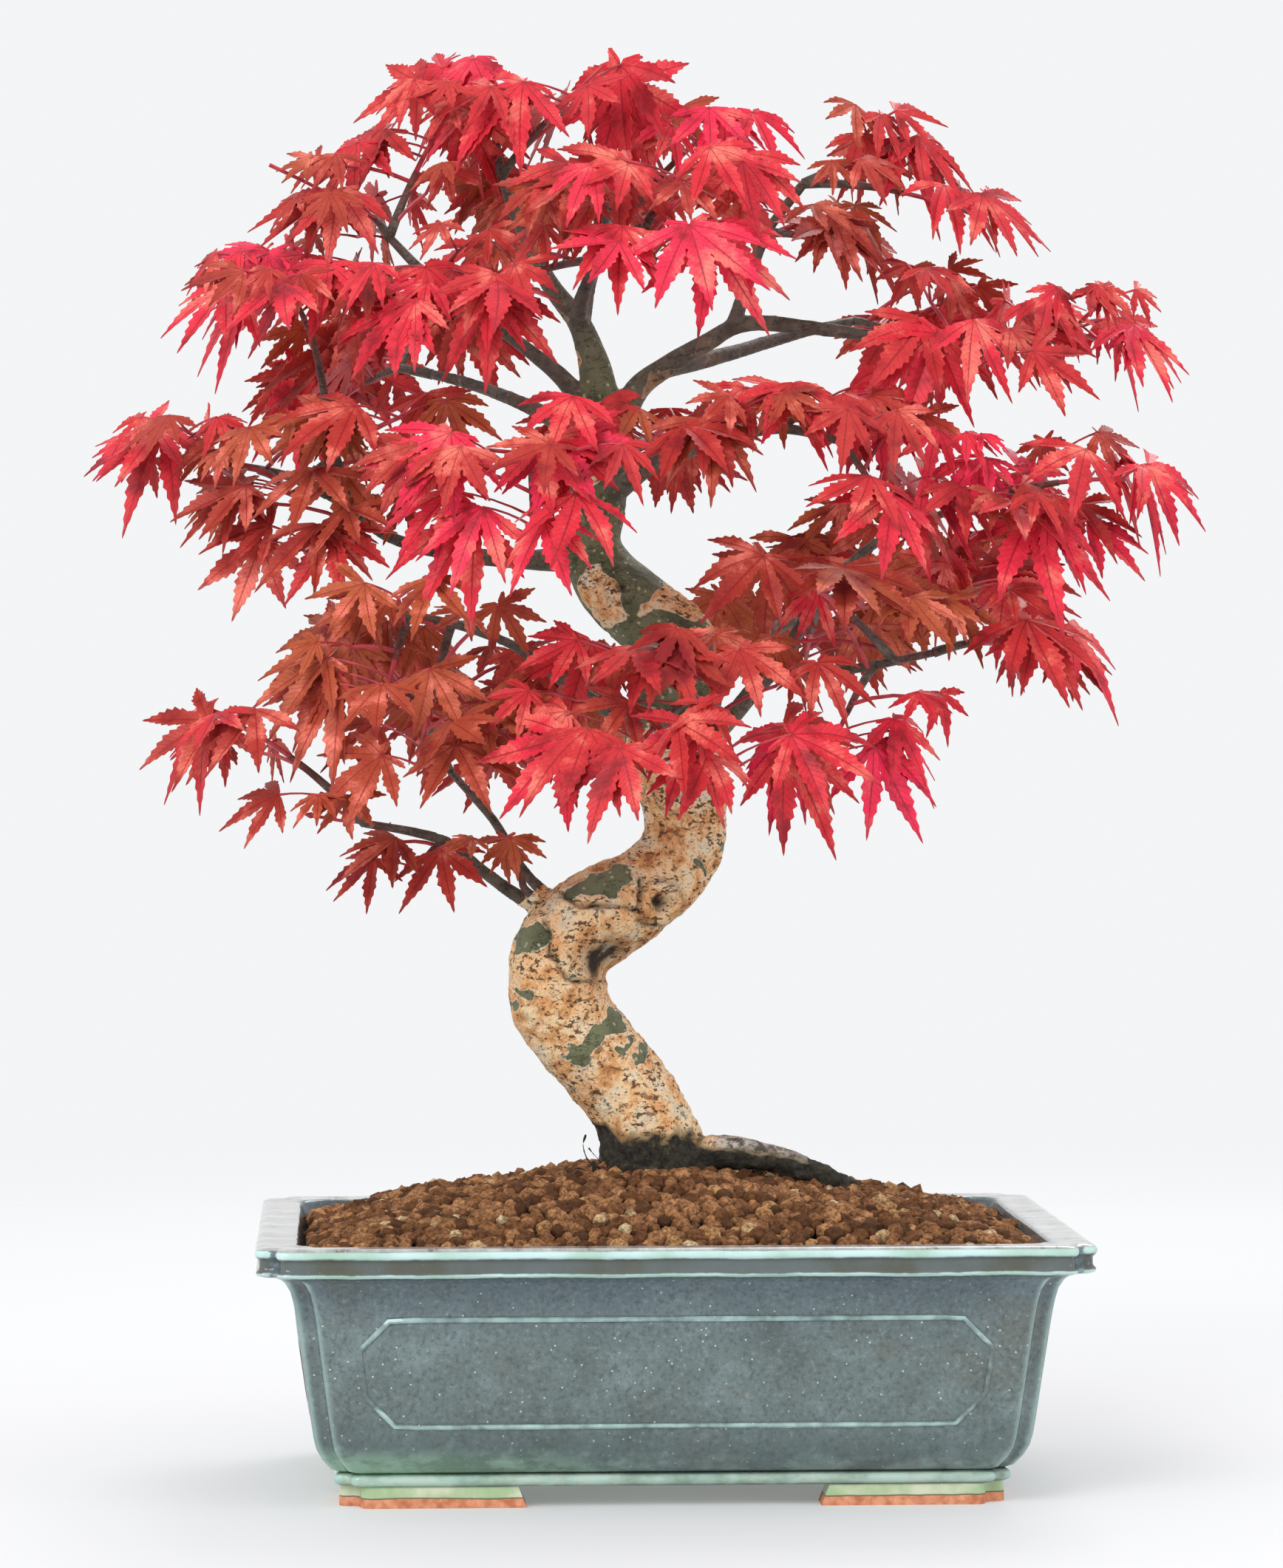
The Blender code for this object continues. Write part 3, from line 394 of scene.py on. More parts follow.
def panel_line(name, half_width, upper, lower, chamfer, across):
    """A half-round line on one wall: a long panel with cut corners, laid along the wall's own curve."""
    half_wall = HALF_DEPTH if across else HALF_LENGTH
    corners = [(-half_width + chamfer, upper), (half_width - chamfer, upper), (half_width, upper - chamfer),
               (half_width - 0.002, lower + chamfer), (half_width - chamfer - 0.002, lower),
               (-half_width + chamfer + 0.002, lower), (-half_width + 0.002, lower + chamfer),
               (-half_width, upper - chamfer)]
    curve = bpy.data.curves.new(name, "CURVE")
    curve.dimensions, curve.bevel_depth, curve.bevel_resolution = "3D", RIDGE, 2
    spline = curve.splines.new("POLY")
    spline.use_cyclic_u = True
    steps = 8
    spline.points.add(len(corners) * steps - 1)
    for corner, (start, end) in enumerate(zip(corners, corners[1:] + corners[:1])):
        for step in range(steps):
            share = 0.04 + 0.92 * step / (steps - 1)
            along = start[0] + (end[0] - start[0]) * share
            up = start[1] + (end[1] - start[1]) * share
            out = half_wall - wall_inset(up) - 0.0004
            place = Vector((along, -out, up)) if across else Vector((out, along, up))
            spline.points[corner * steps + step].co = (*place, 1)
    line = bpy.data.objects.new(name, curve)
    bpy.context.scene.collection.objects.link(line)
    return line


ridges = []
for across, half_width in ((True, 0.098), (False, 0.060)):
    for turn in (0, 180):
        ridge = panel_line("panel_line", half_width, 0.060, 0.0265, 0.0095, across)
        ridge.matrix_world = Matrix.Translation(pot_middle) @ Matrix.Rotation(math.radians(turn), 4, "Z")
        pick(ridge)
        bpy.ops.object.convert(target="MESH")
        ridges.append(ridge)
cut_or_join(pot, "UNION", [feet] + ridges)
settle(pot)

# Hand-thrown waviness, then what the glaze follows: edges, hollows, the lip and the way round it
surface = bmesh.new()
surface.from_mesh(pot.data)
edge_mark, lip_mark, band_mark, corner_mark = (
    surface.verts.layers.float.new(name) for name in ("edge", "lip", "band", "corner"))
round_mark = surface.verts.layers.float_vector.new("round_the_lip")
surface.normal_update()
bends = {}
for vert in surface.verts:
    pull = Vector()
    for edge in vert.link_edges:
        pull += (vert.co - edge.other_vert(vert).co) / max(edge.calc_length(), 1e-6)
    bends[vert] = pull.dot(vert.normal) / max(len(vert.link_edges), 1)
for vert in surface.verts:
    near = [bends[edge.other_vert(vert)] for edge in vert.link_edges]
    vert[edge_mark] = 0.6 * bends[vert] + 0.4 * sum(near) / max(len(near), 1)
    from_pot = vert.co - pot_middle
    inset_x, inset_y = HALF_LENGTH - abs(from_pot.x), HALF_DEPTH - abs(from_pot.y)
    inset = min(inset_x, inset_y)
    vert[lip_mark] = float(from_pot.z > 0.0824 and 0.0007 < inset < 0.0125)
    vert[band_mark] = float(from_pot.z > 0.0735 and inset < 0.0045) * (1 - vert[lip_mark])
    stand_in = wall_inset(from_pot.z)
    step = NOTCH * (1 - stand_in / HALF_DEPTH)
    if RIB_TOP < from_pot.z < BAND_FOOT - 0.001 and inset < stand_in + 0.003:
        gaps = (math.hypot(inset_x - stand_in - step, inset_y - stand_in),
                math.hypot(inset_x - stand_in, inset_y - stand_in - step))
        vert[corner_mark] = 0.85 * math.exp(-(min(gaps) / 0.0013) ** 2)
    if 0.032 < from_pot.z < 0.052 and inset > 0.01:
        vert[edge_mark] *= 0.35
    if inset_y < inset_x:
        vert[round_mark] = (from_pot.x, math.copysign(HALF_DEPTH, from_pot.y), 0)
    else:
        vert[round_mark] = (math.copysign(HALF_LENGTH, from_pot.x), from_pot.y, 0)
for vert in surface.verts:
    if 0.003 < vert.co.z < LIP_TOP - 0.0012:
        vert.co += vert.normal * noise.noise(vert.co * 38) * WAVINESS
surface.to_mesh(pot.data)
surface.free()
bpy.ops.object.shade_smooth_by_angle(angle=math.radians(42))

glaze, tree, shader, place = new_finish("slate_glaze", 0.2)
height = put(tree, "ShaderNodeSeparateXYZ", {0: place}).outputs
decimetres = times(tree, height["Z"], 10)
centimetres = times(tree, height["Z"], 60)
clouds = grain(tree, place, 24, 8, 0.7)
body = ramp(tree, clouds, [(0.36, (0.088, 0.112, 0.108)), (0.50, (0.128, 0.168, 0.166)),
                           (0.66, (0.190, 0.250, 0.252))])
blue = ramp(tree, decimetres, [(0.45, 0.0), (0.72, 0.5)])
body = tinted(tree, blue, body, (0.105, 0.155, 0.195))
brown = ramp(tree, grain(tree, place, 30, 6, 0.65, (1, 1, 1.6)), [(0.52, 0.0), (0.72, 0.5)])
body = tinted(tree, brown, body, (0.120, 0.115, 0.085))
fine = grain(tree, place, 620, 4, 0.7)
body = tinted(tree, ramp(tree, fine, [(0.34, 0.55), (0.50, 0.0)]), body, (0.045, 0.060, 0.060))
body = tinted(tree, ramp(tree, fine, [(0.54, 0.0), (0.72, 0.40)]), body, (0.30, 0.38, 0.37))
pits = ramp(tree, cells(tree, place, 300), [(0.05, 0.8), (0.12, 0.0)])
body = tinted(tree, pits, body, (0.62, 0.72, 0.70))
runs = grain(tree, place, 120, 6, 0.65, (0.45, 0.45, 1.1))
low_down = ramp(tree, decimetres, [(0.11, 1.0), (0.21, 0.0)])
leftward = ramp(tree, plus(tree, height["X"], 0.5), [(0.405, 1.0), (0.52, 0.0)])
body = tinted(tree, ramp(tree, decimetres, [(0.12, 0.55), (0.36, 0.0)]), body, (0.060, 0.088, 0.090))
mostly_left = plus(tree, times(tree, leftward, 0.75), 0.25)
pale_runs = times(tree, times(tree, ramp(tree, runs, [(0.44, 0.0), (0.62, 0.85)]), low_down), mostly_left)
body = tinted(tree, pale_runs, body, (0.38, 0.54, 0.47))
body = tinted(tree, times(tree, times(tree, low_down, leftward), 0.6), body, (0.17, 0.36, 0.20))
rib = ramp(tree, centimetres, [(0.41, 0.0), (0.46, 0.85), (0.60, 0.85), (0.65, 0.0)])
body = tinted(tree, rib, body, ramp(tree, runs, [(0.35, (0.24, 0.36, 0.27)), (0.65, (0.50, 0.62, 0.52))]))
edges = painted(tree, "edge")
broken = plus(tree, edges, swing(tree, grain(tree, place, 160, 5), 0.35))
hollows = ramp(tree, times(tree, edges, -1.0), [(0.08, 0.0), (0.30, 0.85)])
body = tinted(tree, hollows, body, (0.040, 0.042, 0.030))
pale = sums(tree, "MAXIMUM", ramp(tree, broken, [(0.06, 0.0), (0.28, 0.9)]), painted(tree, "corner"))
body = tinted(tree, pale, body, (0.42, 0.62, 0.58))
face_up = sums(tree, "DIVIDE", sums(tree, "SUBTRACT", height["Z"], BAND_FOOT), LIP_TOP - BAND_FOOT)
wander = swing(tree, grain(tree, place, 60, 5, 0.65), 0.22)
bands = ramp(tree, plus(tree, face_up, wander), [
    (0.02, 0.0), (0.07, 0.95), (0.14, 0.75), (0.19, 0.0),
    (0.63, 0.0), (0.72, 0.95), (0.90, 0.95), (0.96, 0.1)])
dull_band = ramp(tree, grain(tree, place, 45, 5), [
    (0.35, (0.080, 0.084, 0.060)), (0.65, (0.110, 0.135, 0.138))])
bead = ramp(tree, grain(tree, place, 38, 4), [(0.35, (0.40, 0.62, 0.50)), (0.60, (0.60, 0.82, 0.80))])
band_colour = tinted(tree, bands, dull_band, bead)
body = tinted(tree, times(tree, painted(tree, "band"), 0.92), body, band_colour)
round_lip = painted(tree, "round_the_lip", "Vector")
streaks = grain(tree, round_lip, 85, 6, 0.7)
streaks = plus(tree, times(tree, streaks, 0.6), times(tree, grain(tree, place, 110, 6, 0.7), 0.4))
lip_colour = ramp(tree, streaks, [(0.36, (0.060, 0.050, 0.045)), (0.41, (0.22, 0.18, 0.13)),
                                  (0.47, (0.42, 0.43, 0.41)), (0.60, (0.60, 0.65, 0.65))])
body = tinted(tree, times(tree, painted(tree, "lip"), 0.9), body, lip_colour)
foot = ramp(tree, centimetres, [(0.37, 1.0), (0.41, 0.0)])
cream = ramp(tree, grain(tree, place, 90, 5), [(0.35, (0.36, 0.50, 0.27)), (0.65, (0.62, 0.66, 0.48))])
body = tinted(tree, foot, body, cream)
bare_line = plus(tree, centimetres, times(tree, grain(tree, place, 70, 3), 0.07))
body = tinted(tree, ramp(tree, bare_line, [(0.215, 0.9), (0.245, 0.0)]), body, (0.055, 0.028, 0.018))
bare = ramp(tree, bare_line, [(0.200, 1.0), (0.215, 0.0)])
clay = ramp(tree, grain(tree, place, 300), [(0.3, (0.50, 0.16, 0.075)), (0.7, (0.76, 0.34, 0.19))])
body = tinted(tree, bare, body, clay)
feed(tree, body, shader, "Base Color")
worn = plus(tree, times(tree, grain(tree, place, 60), 0.2), bare)
feed(tree, ramp(tree, worn, [(0.0, 0.06), (1.0, 0.85)]), shader, "Roughness")
relief(tree, shader, sums(tree, "SUBTRACT", grain(tree, place, 55, 3), times(tree, pits, 0.15)), 0.35, 0.0012)
pot.data.materials.clear()
pot.data.materials.append(glaze)
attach(pot, "root")
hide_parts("pot")

# ---------------------------------------------------------------------------------------------------------
# Under the soil: a black plastic net over each drain hole, held by a staple of copper wire that passes
# through the net and bends out under the floor. Their frame pieces stay and only take their finish.
# ---------------------------------------------------------------------------------------------------------
net_black, tree, shader, place = new_finish("net_black", 0.55)
feed(tree, ramp(tree, grain(tree, place, 400), [(0.3, (0.012, 0.012, 0.013)), (0.7, (0.035, 0.034, 0.032))]),
     shader, "Base Color")
relief(tree, shader, grain(tree, place, 900), 0.3, 0.0003)
copper, tree, shader, place = new_finish("copper_wire", 0.35, 1.0)
feed(tree, ramp(tree, grain(tree, place, 260), [(0.35, (0.28, 0.12, 0.06)), (0.7, (0.72, 0.38, 0.22))]),
     shader, "Base Color")
feed(tree, ramp(tree, grain(tree, place, 500), [(0.3, 0.28), (0.7, 0.55)]), shader, "Roughness")
for word in ("left", "right"):
    for node, finish in (("drain_mesh_" + word, net_black), ("mesh_clip_" + word, copper)):
        carried = frame["nodes"][node]
        carried.data.materials.clear()
        carried.data.materials.append(finish)

# ---------------------------------------------------------------------------------------------------------
# The soil: a mound of fired clay granules, most of them brown, some tan and a few of cream pumice, piled
# over a bed coloured near black as painted shade deep in the gaps. A handful of lumps is modelled and strewn
# over the mound in two layers.
# ---------------------------------------------------------------------------------------------------------
soil_low, soil_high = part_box("soil")
SOIL_HALF_X, SOIL_HALF_Y = (soil_high.x - soil_low.x) / 2, (soil_high.y - soil_low.y) / 2
SOIL_LINE, MOUND_RISE = LIP_TOP - 0.0045, 0.0215
GRAIN_SIZE, GRAIN_SPACING = 0.0041, 0.0037
LUMPS = 6


def mound_height(x, y):
    """The top of the soil, from the middle of the pot: level at the lip, crowned at the trunk."""
    broad = max(0.0, 1 - abs(x / SOIL_HALF_X) ** 3.2) * max(0.0, 1 - abs(y / SOIL_HALF_Y) ** 3.2)
    peak = math.exp(-((x / 0.05) ** 2 + (y / 0.04) ** 2))
    return SOIL_LINE + MOUND_RISE * (0.72 * broad + 0.28 * broad * peak)


def ground_sheet(name, sink):
    """A fine sheet along the top of the mound, kept inside the pot's rounded opening."""
    bpy.ops.object.select_all(action="DESELECT")
    bpy.ops.mesh.primitive_grid_add(x_subdivisions=90, y_subdivisions=64, size=2)
    sheet = bpy.context.object
    sheet.name = name
    half_x, half_y = SOIL_HALF_X - 0.0016, SOIL_HALF_Y - 0.0016
    for vert in sheet.data.vertices:
        x, y = vert.co.x * half_x, vert.co.y * half_y
        past = Vector((abs(x) - (half_x - INNER_ROUND), abs(y) - (half_y - INNER_ROUND)))
        if min(past) > 0 and past.length > INNER_ROUND:
            past = past.normalized() * INNER_ROUND
            x = math.copysign(half_x - INNER_ROUND + past.x, x)
            y = math.copysign(half_y - INNER_ROUND + past.y, y)
        roll = noise.noise(Vector((x * 45, y * 45, 3.1))) * 0.0016
        vert.co = pot_middle + Vector((x, y, mound_height(x, y) - sink + roll))
    return sheet


def crumbled_lump(name, seed):
    """One granule: a small block, rounded off unevenly."""
    bpy.ops.object.select_all(action="DESELECT")
    bpy.ops.mesh.primitive_cube_add(size=1)
    lump = bpy.context.object
    lump.name = name
    bpy.ops.object.mode_set(mode="EDIT")
    bpy.ops.mesh.subdivide(number_cuts=1, smoothness=0.9)
    bpy.ops.transform.vertex_random(offset=0.14, seed=seed)
    bpy.ops.object.mode_set(mode="OBJECT")
    pick = random.Random(seed)
    lump.scale = (pick.uniform(0.8, 1.15), pick.uniform(0.7, 1.0), pick.uniform(0.62, 0.85))
    bpy.ops.object.transform_apply(scale=True)
    return lump


def strew(sheet, lumps, spacing, seed):
    """Turns a sheet into granules: a lump at each of many even places, turned and sized at random."""
    group = bpy.data.node_groups.new("strew", "GeometryNodeTree")
    group.interface.new_socket("Geometry", in_out="INPUT", socket_type="NodeSocketGeometry")
    group.interface.new_socket("Geometry", in_out="OUTPUT", socket_type="NodeSocketGeometry")
    start = put(group, "NodeGroupInput")
    spots = put(group, "GeometryNodeDistributePointsOnFaces",
                {"Mesh": start.outputs[0], "Distance Min": spacing, "Density Max": 3e6, "Seed": seed},
                distribute_method="POISSON").outputs["Points"]

    def at_random(low, high, more_seed, output=1, kind="FLOAT"):
        first = 0 if kind == "FLOAT_VECTOR" else 2
        return put(group, "FunctionNodeRandomValue", {first: low, first + 1: high, "Seed": seed + more_seed},
                   data_type=kind).outputs[output]

    turn = at_random((0, 0, 0), (math.tau, math.tau, math.tau), 1, 0, "FLOAT_VECTOR")
    size = at_random(GRAIN_SIZE * 0.72, GRAIN_SIZE * 1.28, 2)
    heap = put(group, "GeometryNodeCollectionInfo", {"Collection": lumps, "Separate Children": True,
                                                     "Reset Children": True}).outputs[0]
    laid = put(group, "GeometryNodeInstanceOnPoints", {
        "Points": spots, "Instance": heap, "Pick Instance": True, "Rotation": turn, "Scale": size}).outputs[0]
    marked = put(group, "GeometryNodeStoreNamedAttribute", {
        "Geometry": laid, "Name": "tone", "Value": at_random(0.0, 1.0, 3)},
        data_type="FLOAT", domain="INSTANCE").outputs[0]
    loose = put(group, "GeometryNodeRealizeInstances", {"Geometry": marked}).outputs[0]
    put(group, "NodeGroupOutput", {0: loose})
    apply_modifier(sheet, "NODES", node_group=group)


heap = bpy.data.collections.new("lumps")
bpy.context.scene.collection.children.link(heap)
for number in range(LUMPS):
    lump = crumbled_lump("lump", number + 1)
    for holder in list(lump.users_collection):
        holder.objects.unlink(lump)
    heap.objects.link(lump)

granule, tree, shader, place = new_finish("clay_granules", 0.93)
shader.inputs["Specular IOR Level"].default_value = 0.25
tone = painted(tree, "tone")
clay = ramp(tree, tone, [
    (0.0, (0.090, 0.038, 0.014)), (0.35, (0.240, 0.102, 0.038)), (0.72, (0.430, 0.205, 0.085)),
    (0.93, (0.580, 0.290, 0.125)), (0.968, (0.60, 0.33, 0.13)), (0.990, (0.85, 0.66, 0.38))], False)
# Fine mottling over the granules: darker specks at random, and pale flecks that are painted highlights
specks_and_glints = grain(tree, place, 700, 5, 0.7)
clay = tinted(tree, ramp(tree, specks_and_glints, [(0.38, 0.75), (0.62, 0.0)]), clay, (0.055, 0.022, 0.010))
clay = tinted(tree, ramp(tree, specks_and_glints, [(0.60, 0.0), (0.78, 0.5)]), clay, (0.36, 0.20, 0.10))
# Painted shade: granules darken with depth below the mound's top, darkest deep in the gaps between them
clay = tinted(tree, painted(tree, "gap_shade"), clay, (0.016, 0.006, 0.003))
feed(tree, clay, shader, "Base Color")
relief(tree, shader, grain(tree, place, 1100, 5, 0.7), 0.9, 0.0006)

# The bed shows only in the gaps between granules: its near-black colour is painted shade
bed, tree, shader, place = new_finish("soil_bed", 0.95)
bed_shade = ramp(tree, grain(tree, place, 500, 6, 0.7), [
    (0.3, (0.020, 0.010, 0.005)), (0.7, (0.075, 0.034, 0.015))])
feed(tree, bed_shade, shader, "Base Color")
relief(tree, shader, grain(tree, place, 420, 6, 0.7), 1.0, 0.0015)

mound = ground_sheet("soil_bed", 0.0040)
in_edit(mound)
half_x, half_y = SOIL_HALF_X - 0.0016, SOIL_HALF_Y - 0.0016
for up in (LIP_TOP - 0.011, 0.060, 0.046, 0.032, 0.0175):
    inset = wall_inset(up) + WALL + 0.001
    scale = ((HALF_LENGTH - inset) / half_x, (HALF_DEPTH - inset) / half_y, 0)
    bpy.ops.mesh.extrude_region_move()
    bpy.ops.transform.resize(value=scale, center_override=(pot_middle.x, pot_middle.y, 0))
    bpy.ops.transform.translate(value=(0, 0, up))
    half_x, half_y = HALF_LENGTH - inset, HALF_DEPTH - inset
faces_out()
bpy.ops.object.shade_smooth()
mound.data.materials.append(bed)
lower = ground_sheet("granules_lower", 0.0030)
strew(lower, heap, GRAIN_SPACING, 10)
upper = ground_sheet("granules_upper", 0.0006)
strew(upper, heap, GRAIN_SPACING, 20)
for layer in (lower, upper):
    layer.data.materials.clear()
    layer.data.materials.append(granule)
    # Painted shade for the gaps: how far each point lies below the mound's top
    gap_shade = layer.data.attributes.new("gap_shade", "FLOAT", "POINT").data
    for vert, mark in zip(layer.data.vertices, gap_shade):
        at = vert.co - pot_middle
        roll = noise.noise(Vector((at.x * 45, at.y * 45, 3.1))) * 0.0016
        mark.value = min(max((mound_height(at.x, at.y) + roll + 0.0008 - at.z) / 0.0014, 0), 1) ** 0.7
for lump in list(heap.objects):
    bpy.data.objects.remove(lump)
bpy.data.collections.remove(heap)
for layer in (mound, lower, upper):
    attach(layer, "root")
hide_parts("soil")

# ---------------------------------------------------------------------------------------------------------
# The wood: a winding trunk on spreading roots, its limbs and the woody twigs, all one growth. Each run is
# drawn from the frame's growth plan as a tapering tube; the thick ones are fused, then carved with bark.
# ---------------------------------------------------------------------------------------------------------
CREST = LIP_TOP + 0.017

# Across, back, up above the soil's crest, and girth, in millimetres
TRUNK = [
    (4, 0, -30, 26), (1, 0, -12, 44), (-2, 0, 3, 35), (-7, -1, 18, 31), (-17, -2, 31, 30),
    (-27, -4, 43, 30), (-33, -5, 54, 32), (-34, -6, 65, 32), (-29, -6, 75, 32), (-18, -4, 83, 31),
    (-6, -1, 90, 28), (4, 2, 99, 27), (8, 4, 110, 27), (6, 4, 124, 28), (3, 4, 137, 31),
    (4, 2, 149, 31), (7, -1, 161, 27), (4, -3, 171, 25), (-7, -3, 180, 25), (-17, -2, 189, 23),
    (-22, 0, 201, 19), (-20, 1, 213, 17), (-19, 1, 228, 16), (-20, 0, 243, 14), (-21, 0, 255, 11),
    (-26, -1, 271, 8), (-37, -3, 286, 6), (-46, -4, 304, 4.5), (-52, -6, 319, 3),
]
ROOTS = [
    [(2, -3, -6, 18), (17, -9, 5, 12), (34, -14, 4, 9), (48, -17, 0, 7), (62, -19, -8, 5), (73, -21, -17, 3)],
    [(4, -2, -14, 16), (16, -22, -20, 9), (24, -40, -30, 6), (28, -56, -40, 3)],
    [(-2, -2, -14, 16), (-22, -14, -18, 10), (-42, -24, -26, 6), (-60, -34, -38, 3)],
    [(-2, 2, -14, 16), (-20, 16, -20, 9), (-38, 30, -30, 6), (-50, 44, -42, 3)],
    [(4, 2, -14, 16), (10, 24, -20, 9), (14, 42, -28, 6), (16, 58, -40, 3)],
    [(6, 2, -16, 14), (30, 18, -24, 8), (54, 32, -34, 5), (74, 40, -46, 3)],
]
LIMBS = {
    "low_left": [(-28, -5, 79, 8), (-45, -8, 87, 5), (-59, -14, 97, 4), (-68, -20, 105, 3.4),
                 (-80, -27, 109, 3), (-96, -36, 112, 2.4)],
    "low_left_back": [(-26, -2, 80, 7), (-38, 4, 89, 4.4), (-46, 10, 98, 3.6), (-54, 16, 112, 3),
                      (-68, 26, 128, 2.4)],
    "mid_right": [(5, 3, 134, 10), (18, -2, 141, 7), (29, -8, 154, 6), (38, -14, 164, 5),
                  (44, -20, 176, 4.2), (52, -26, 188, 3.6), (68, -34, 202, 3), (92, -38, 212, 2.4)],
    "mid_right_low": [(34, -11, 160, 5), (42, -18, 160, 3.6), (60, -28, 161, 3), (84, -38, 166, 2.4)],
    "mid_left": [(2, 2, 141, 9), (-12, -4, 145, 6), (-23, -9, 151, 5), (-35, -15, 159, 4.2),
                 (-48, -24, 168, 3.4), (-64, -34, 174, 3), (-82, -44, 178, 2.4)],
    "front_low": [(5, -4, 130, 9), (8, -24, 138, 5), (8, -42, 146, 4), (6, -62, 152, 3)],
    "left": [(-20, 0, 197, 10), (-44, -8, 196, 6.5), (-68, -14, 198, 5), (-88, -18, 203, 4),
             (-102, -20, 213, 3.4), (-120, -22, 222, 2.8), (-138, -21, 226, 2.2)],
    "left_rise": [(-100, -20, 211, 4), (-106, -24, 232, 3), (-109, -27, 250, 2.6), (-112, -29, 264, 2.2),
                  (-117, -31, 276, 1.8)],
    "front_left": [(-20, -4, 208, 8), (-28, -26, 218, 5), (-36, -46, 224, 4), (-44, -64, 226, 3)],
    "front_right": [(-18, -4, 216, 8), (-4, -24, 226, 5.5), (14, -42, 232, 4.4), (34, -54, 236, 3.4),
                    (52, -60, 232, 2.6)],
    "right": [(-16, 2, 236, 11), (-8, 1, 251, 8), (2, -1, 259, 7), (14, -5, 266, 6), (27, -9, 272, 5.5),
              (50, -14, 270, 4.6), (76, -20, 266, 3.8), (104, -24, 262, 3), (122, -25, 268, 2.4)],
    "right_rise": [(22, -7, 270, 5.5), (27, -4, 284, 4.4), (34, 0, 302, 3.6), (46, 2, 318, 2.8)],
    "upper_left": [(-20, 0, 240, 9), (-32, -5, 254, 6), (-42, -10, 262, 5), (-56, -16, 272, 4.2),
                   (-74, -22, 284, 3.4), (-88, -22, 298, 2.6)],
    "upper_front": [(-28, -3, 273, 6), (-24, -20, 286, 4), (-16, -36, 296, 3.4), (-8, -48, 300, 2.6)],
    "crown_back": [(-26, 1, 270, 6), (-22, 20, 288, 4.4), (-16, 38, 304, 3.4), (-12, 52, 314, 2.6)],
    "back_low_left": [(4, 6, 122, 9), (-12, 30, 130, 6), (-30, 52, 142, 4.6), (-48, 74, 150, 3.4),
                      (-66, 92, 154, 2.4)],
    "back_low_right": [(8, 4, 158, 9), (28, 28, 168, 6), (50, 50, 180, 4.6), (74, 70, 190, 3.4),
                       (92, 84, 196, 2.4)],
    "back": [(-20, 4, 206, 9), (-16, 28, 218, 6), (-10, 54, 230, 4.6), (-4, 82, 236, 3.4),
             (0, 102, 240, 2.4)],
    "back_left": [(-20, 3, 232, 8), (-40, 26, 246, 5.4), (-62, 48, 256, 4.2), (-84, 66, 262, 3)],
    "back_right": [(0, 1, 258, 7), (22, 24, 264, 5.4), (46, 46, 272, 4.2), (68, 64, 278, 3)],
}
# Root hairs at the foot of the trunk, and the stub of a lost twig among the low left limbs
HAIRS = [
    [(-19, -10, 0, 1), (-24, -12, 3, 0.7), (-26, -12, 8, 0.6), (-25, -12, 12, 0.6)],
    [(-20, -9, 2, 1), (-24, -10, 7, 0.6)],
    [(-41, -12, 87, 3), (-45, -14, 91, 2.6), (-46, -14, 95, 2.2), (-49, -14, 98, 2)],
    [(-20, -13, -2, 1), (-27, -15, 1, 0.7), (-30, -15, 0, 0.6)],
    [(-18, -14, -2, 1), (-22, -18, 0, 0.7), (-23, -20, 3, 0.6)],
]

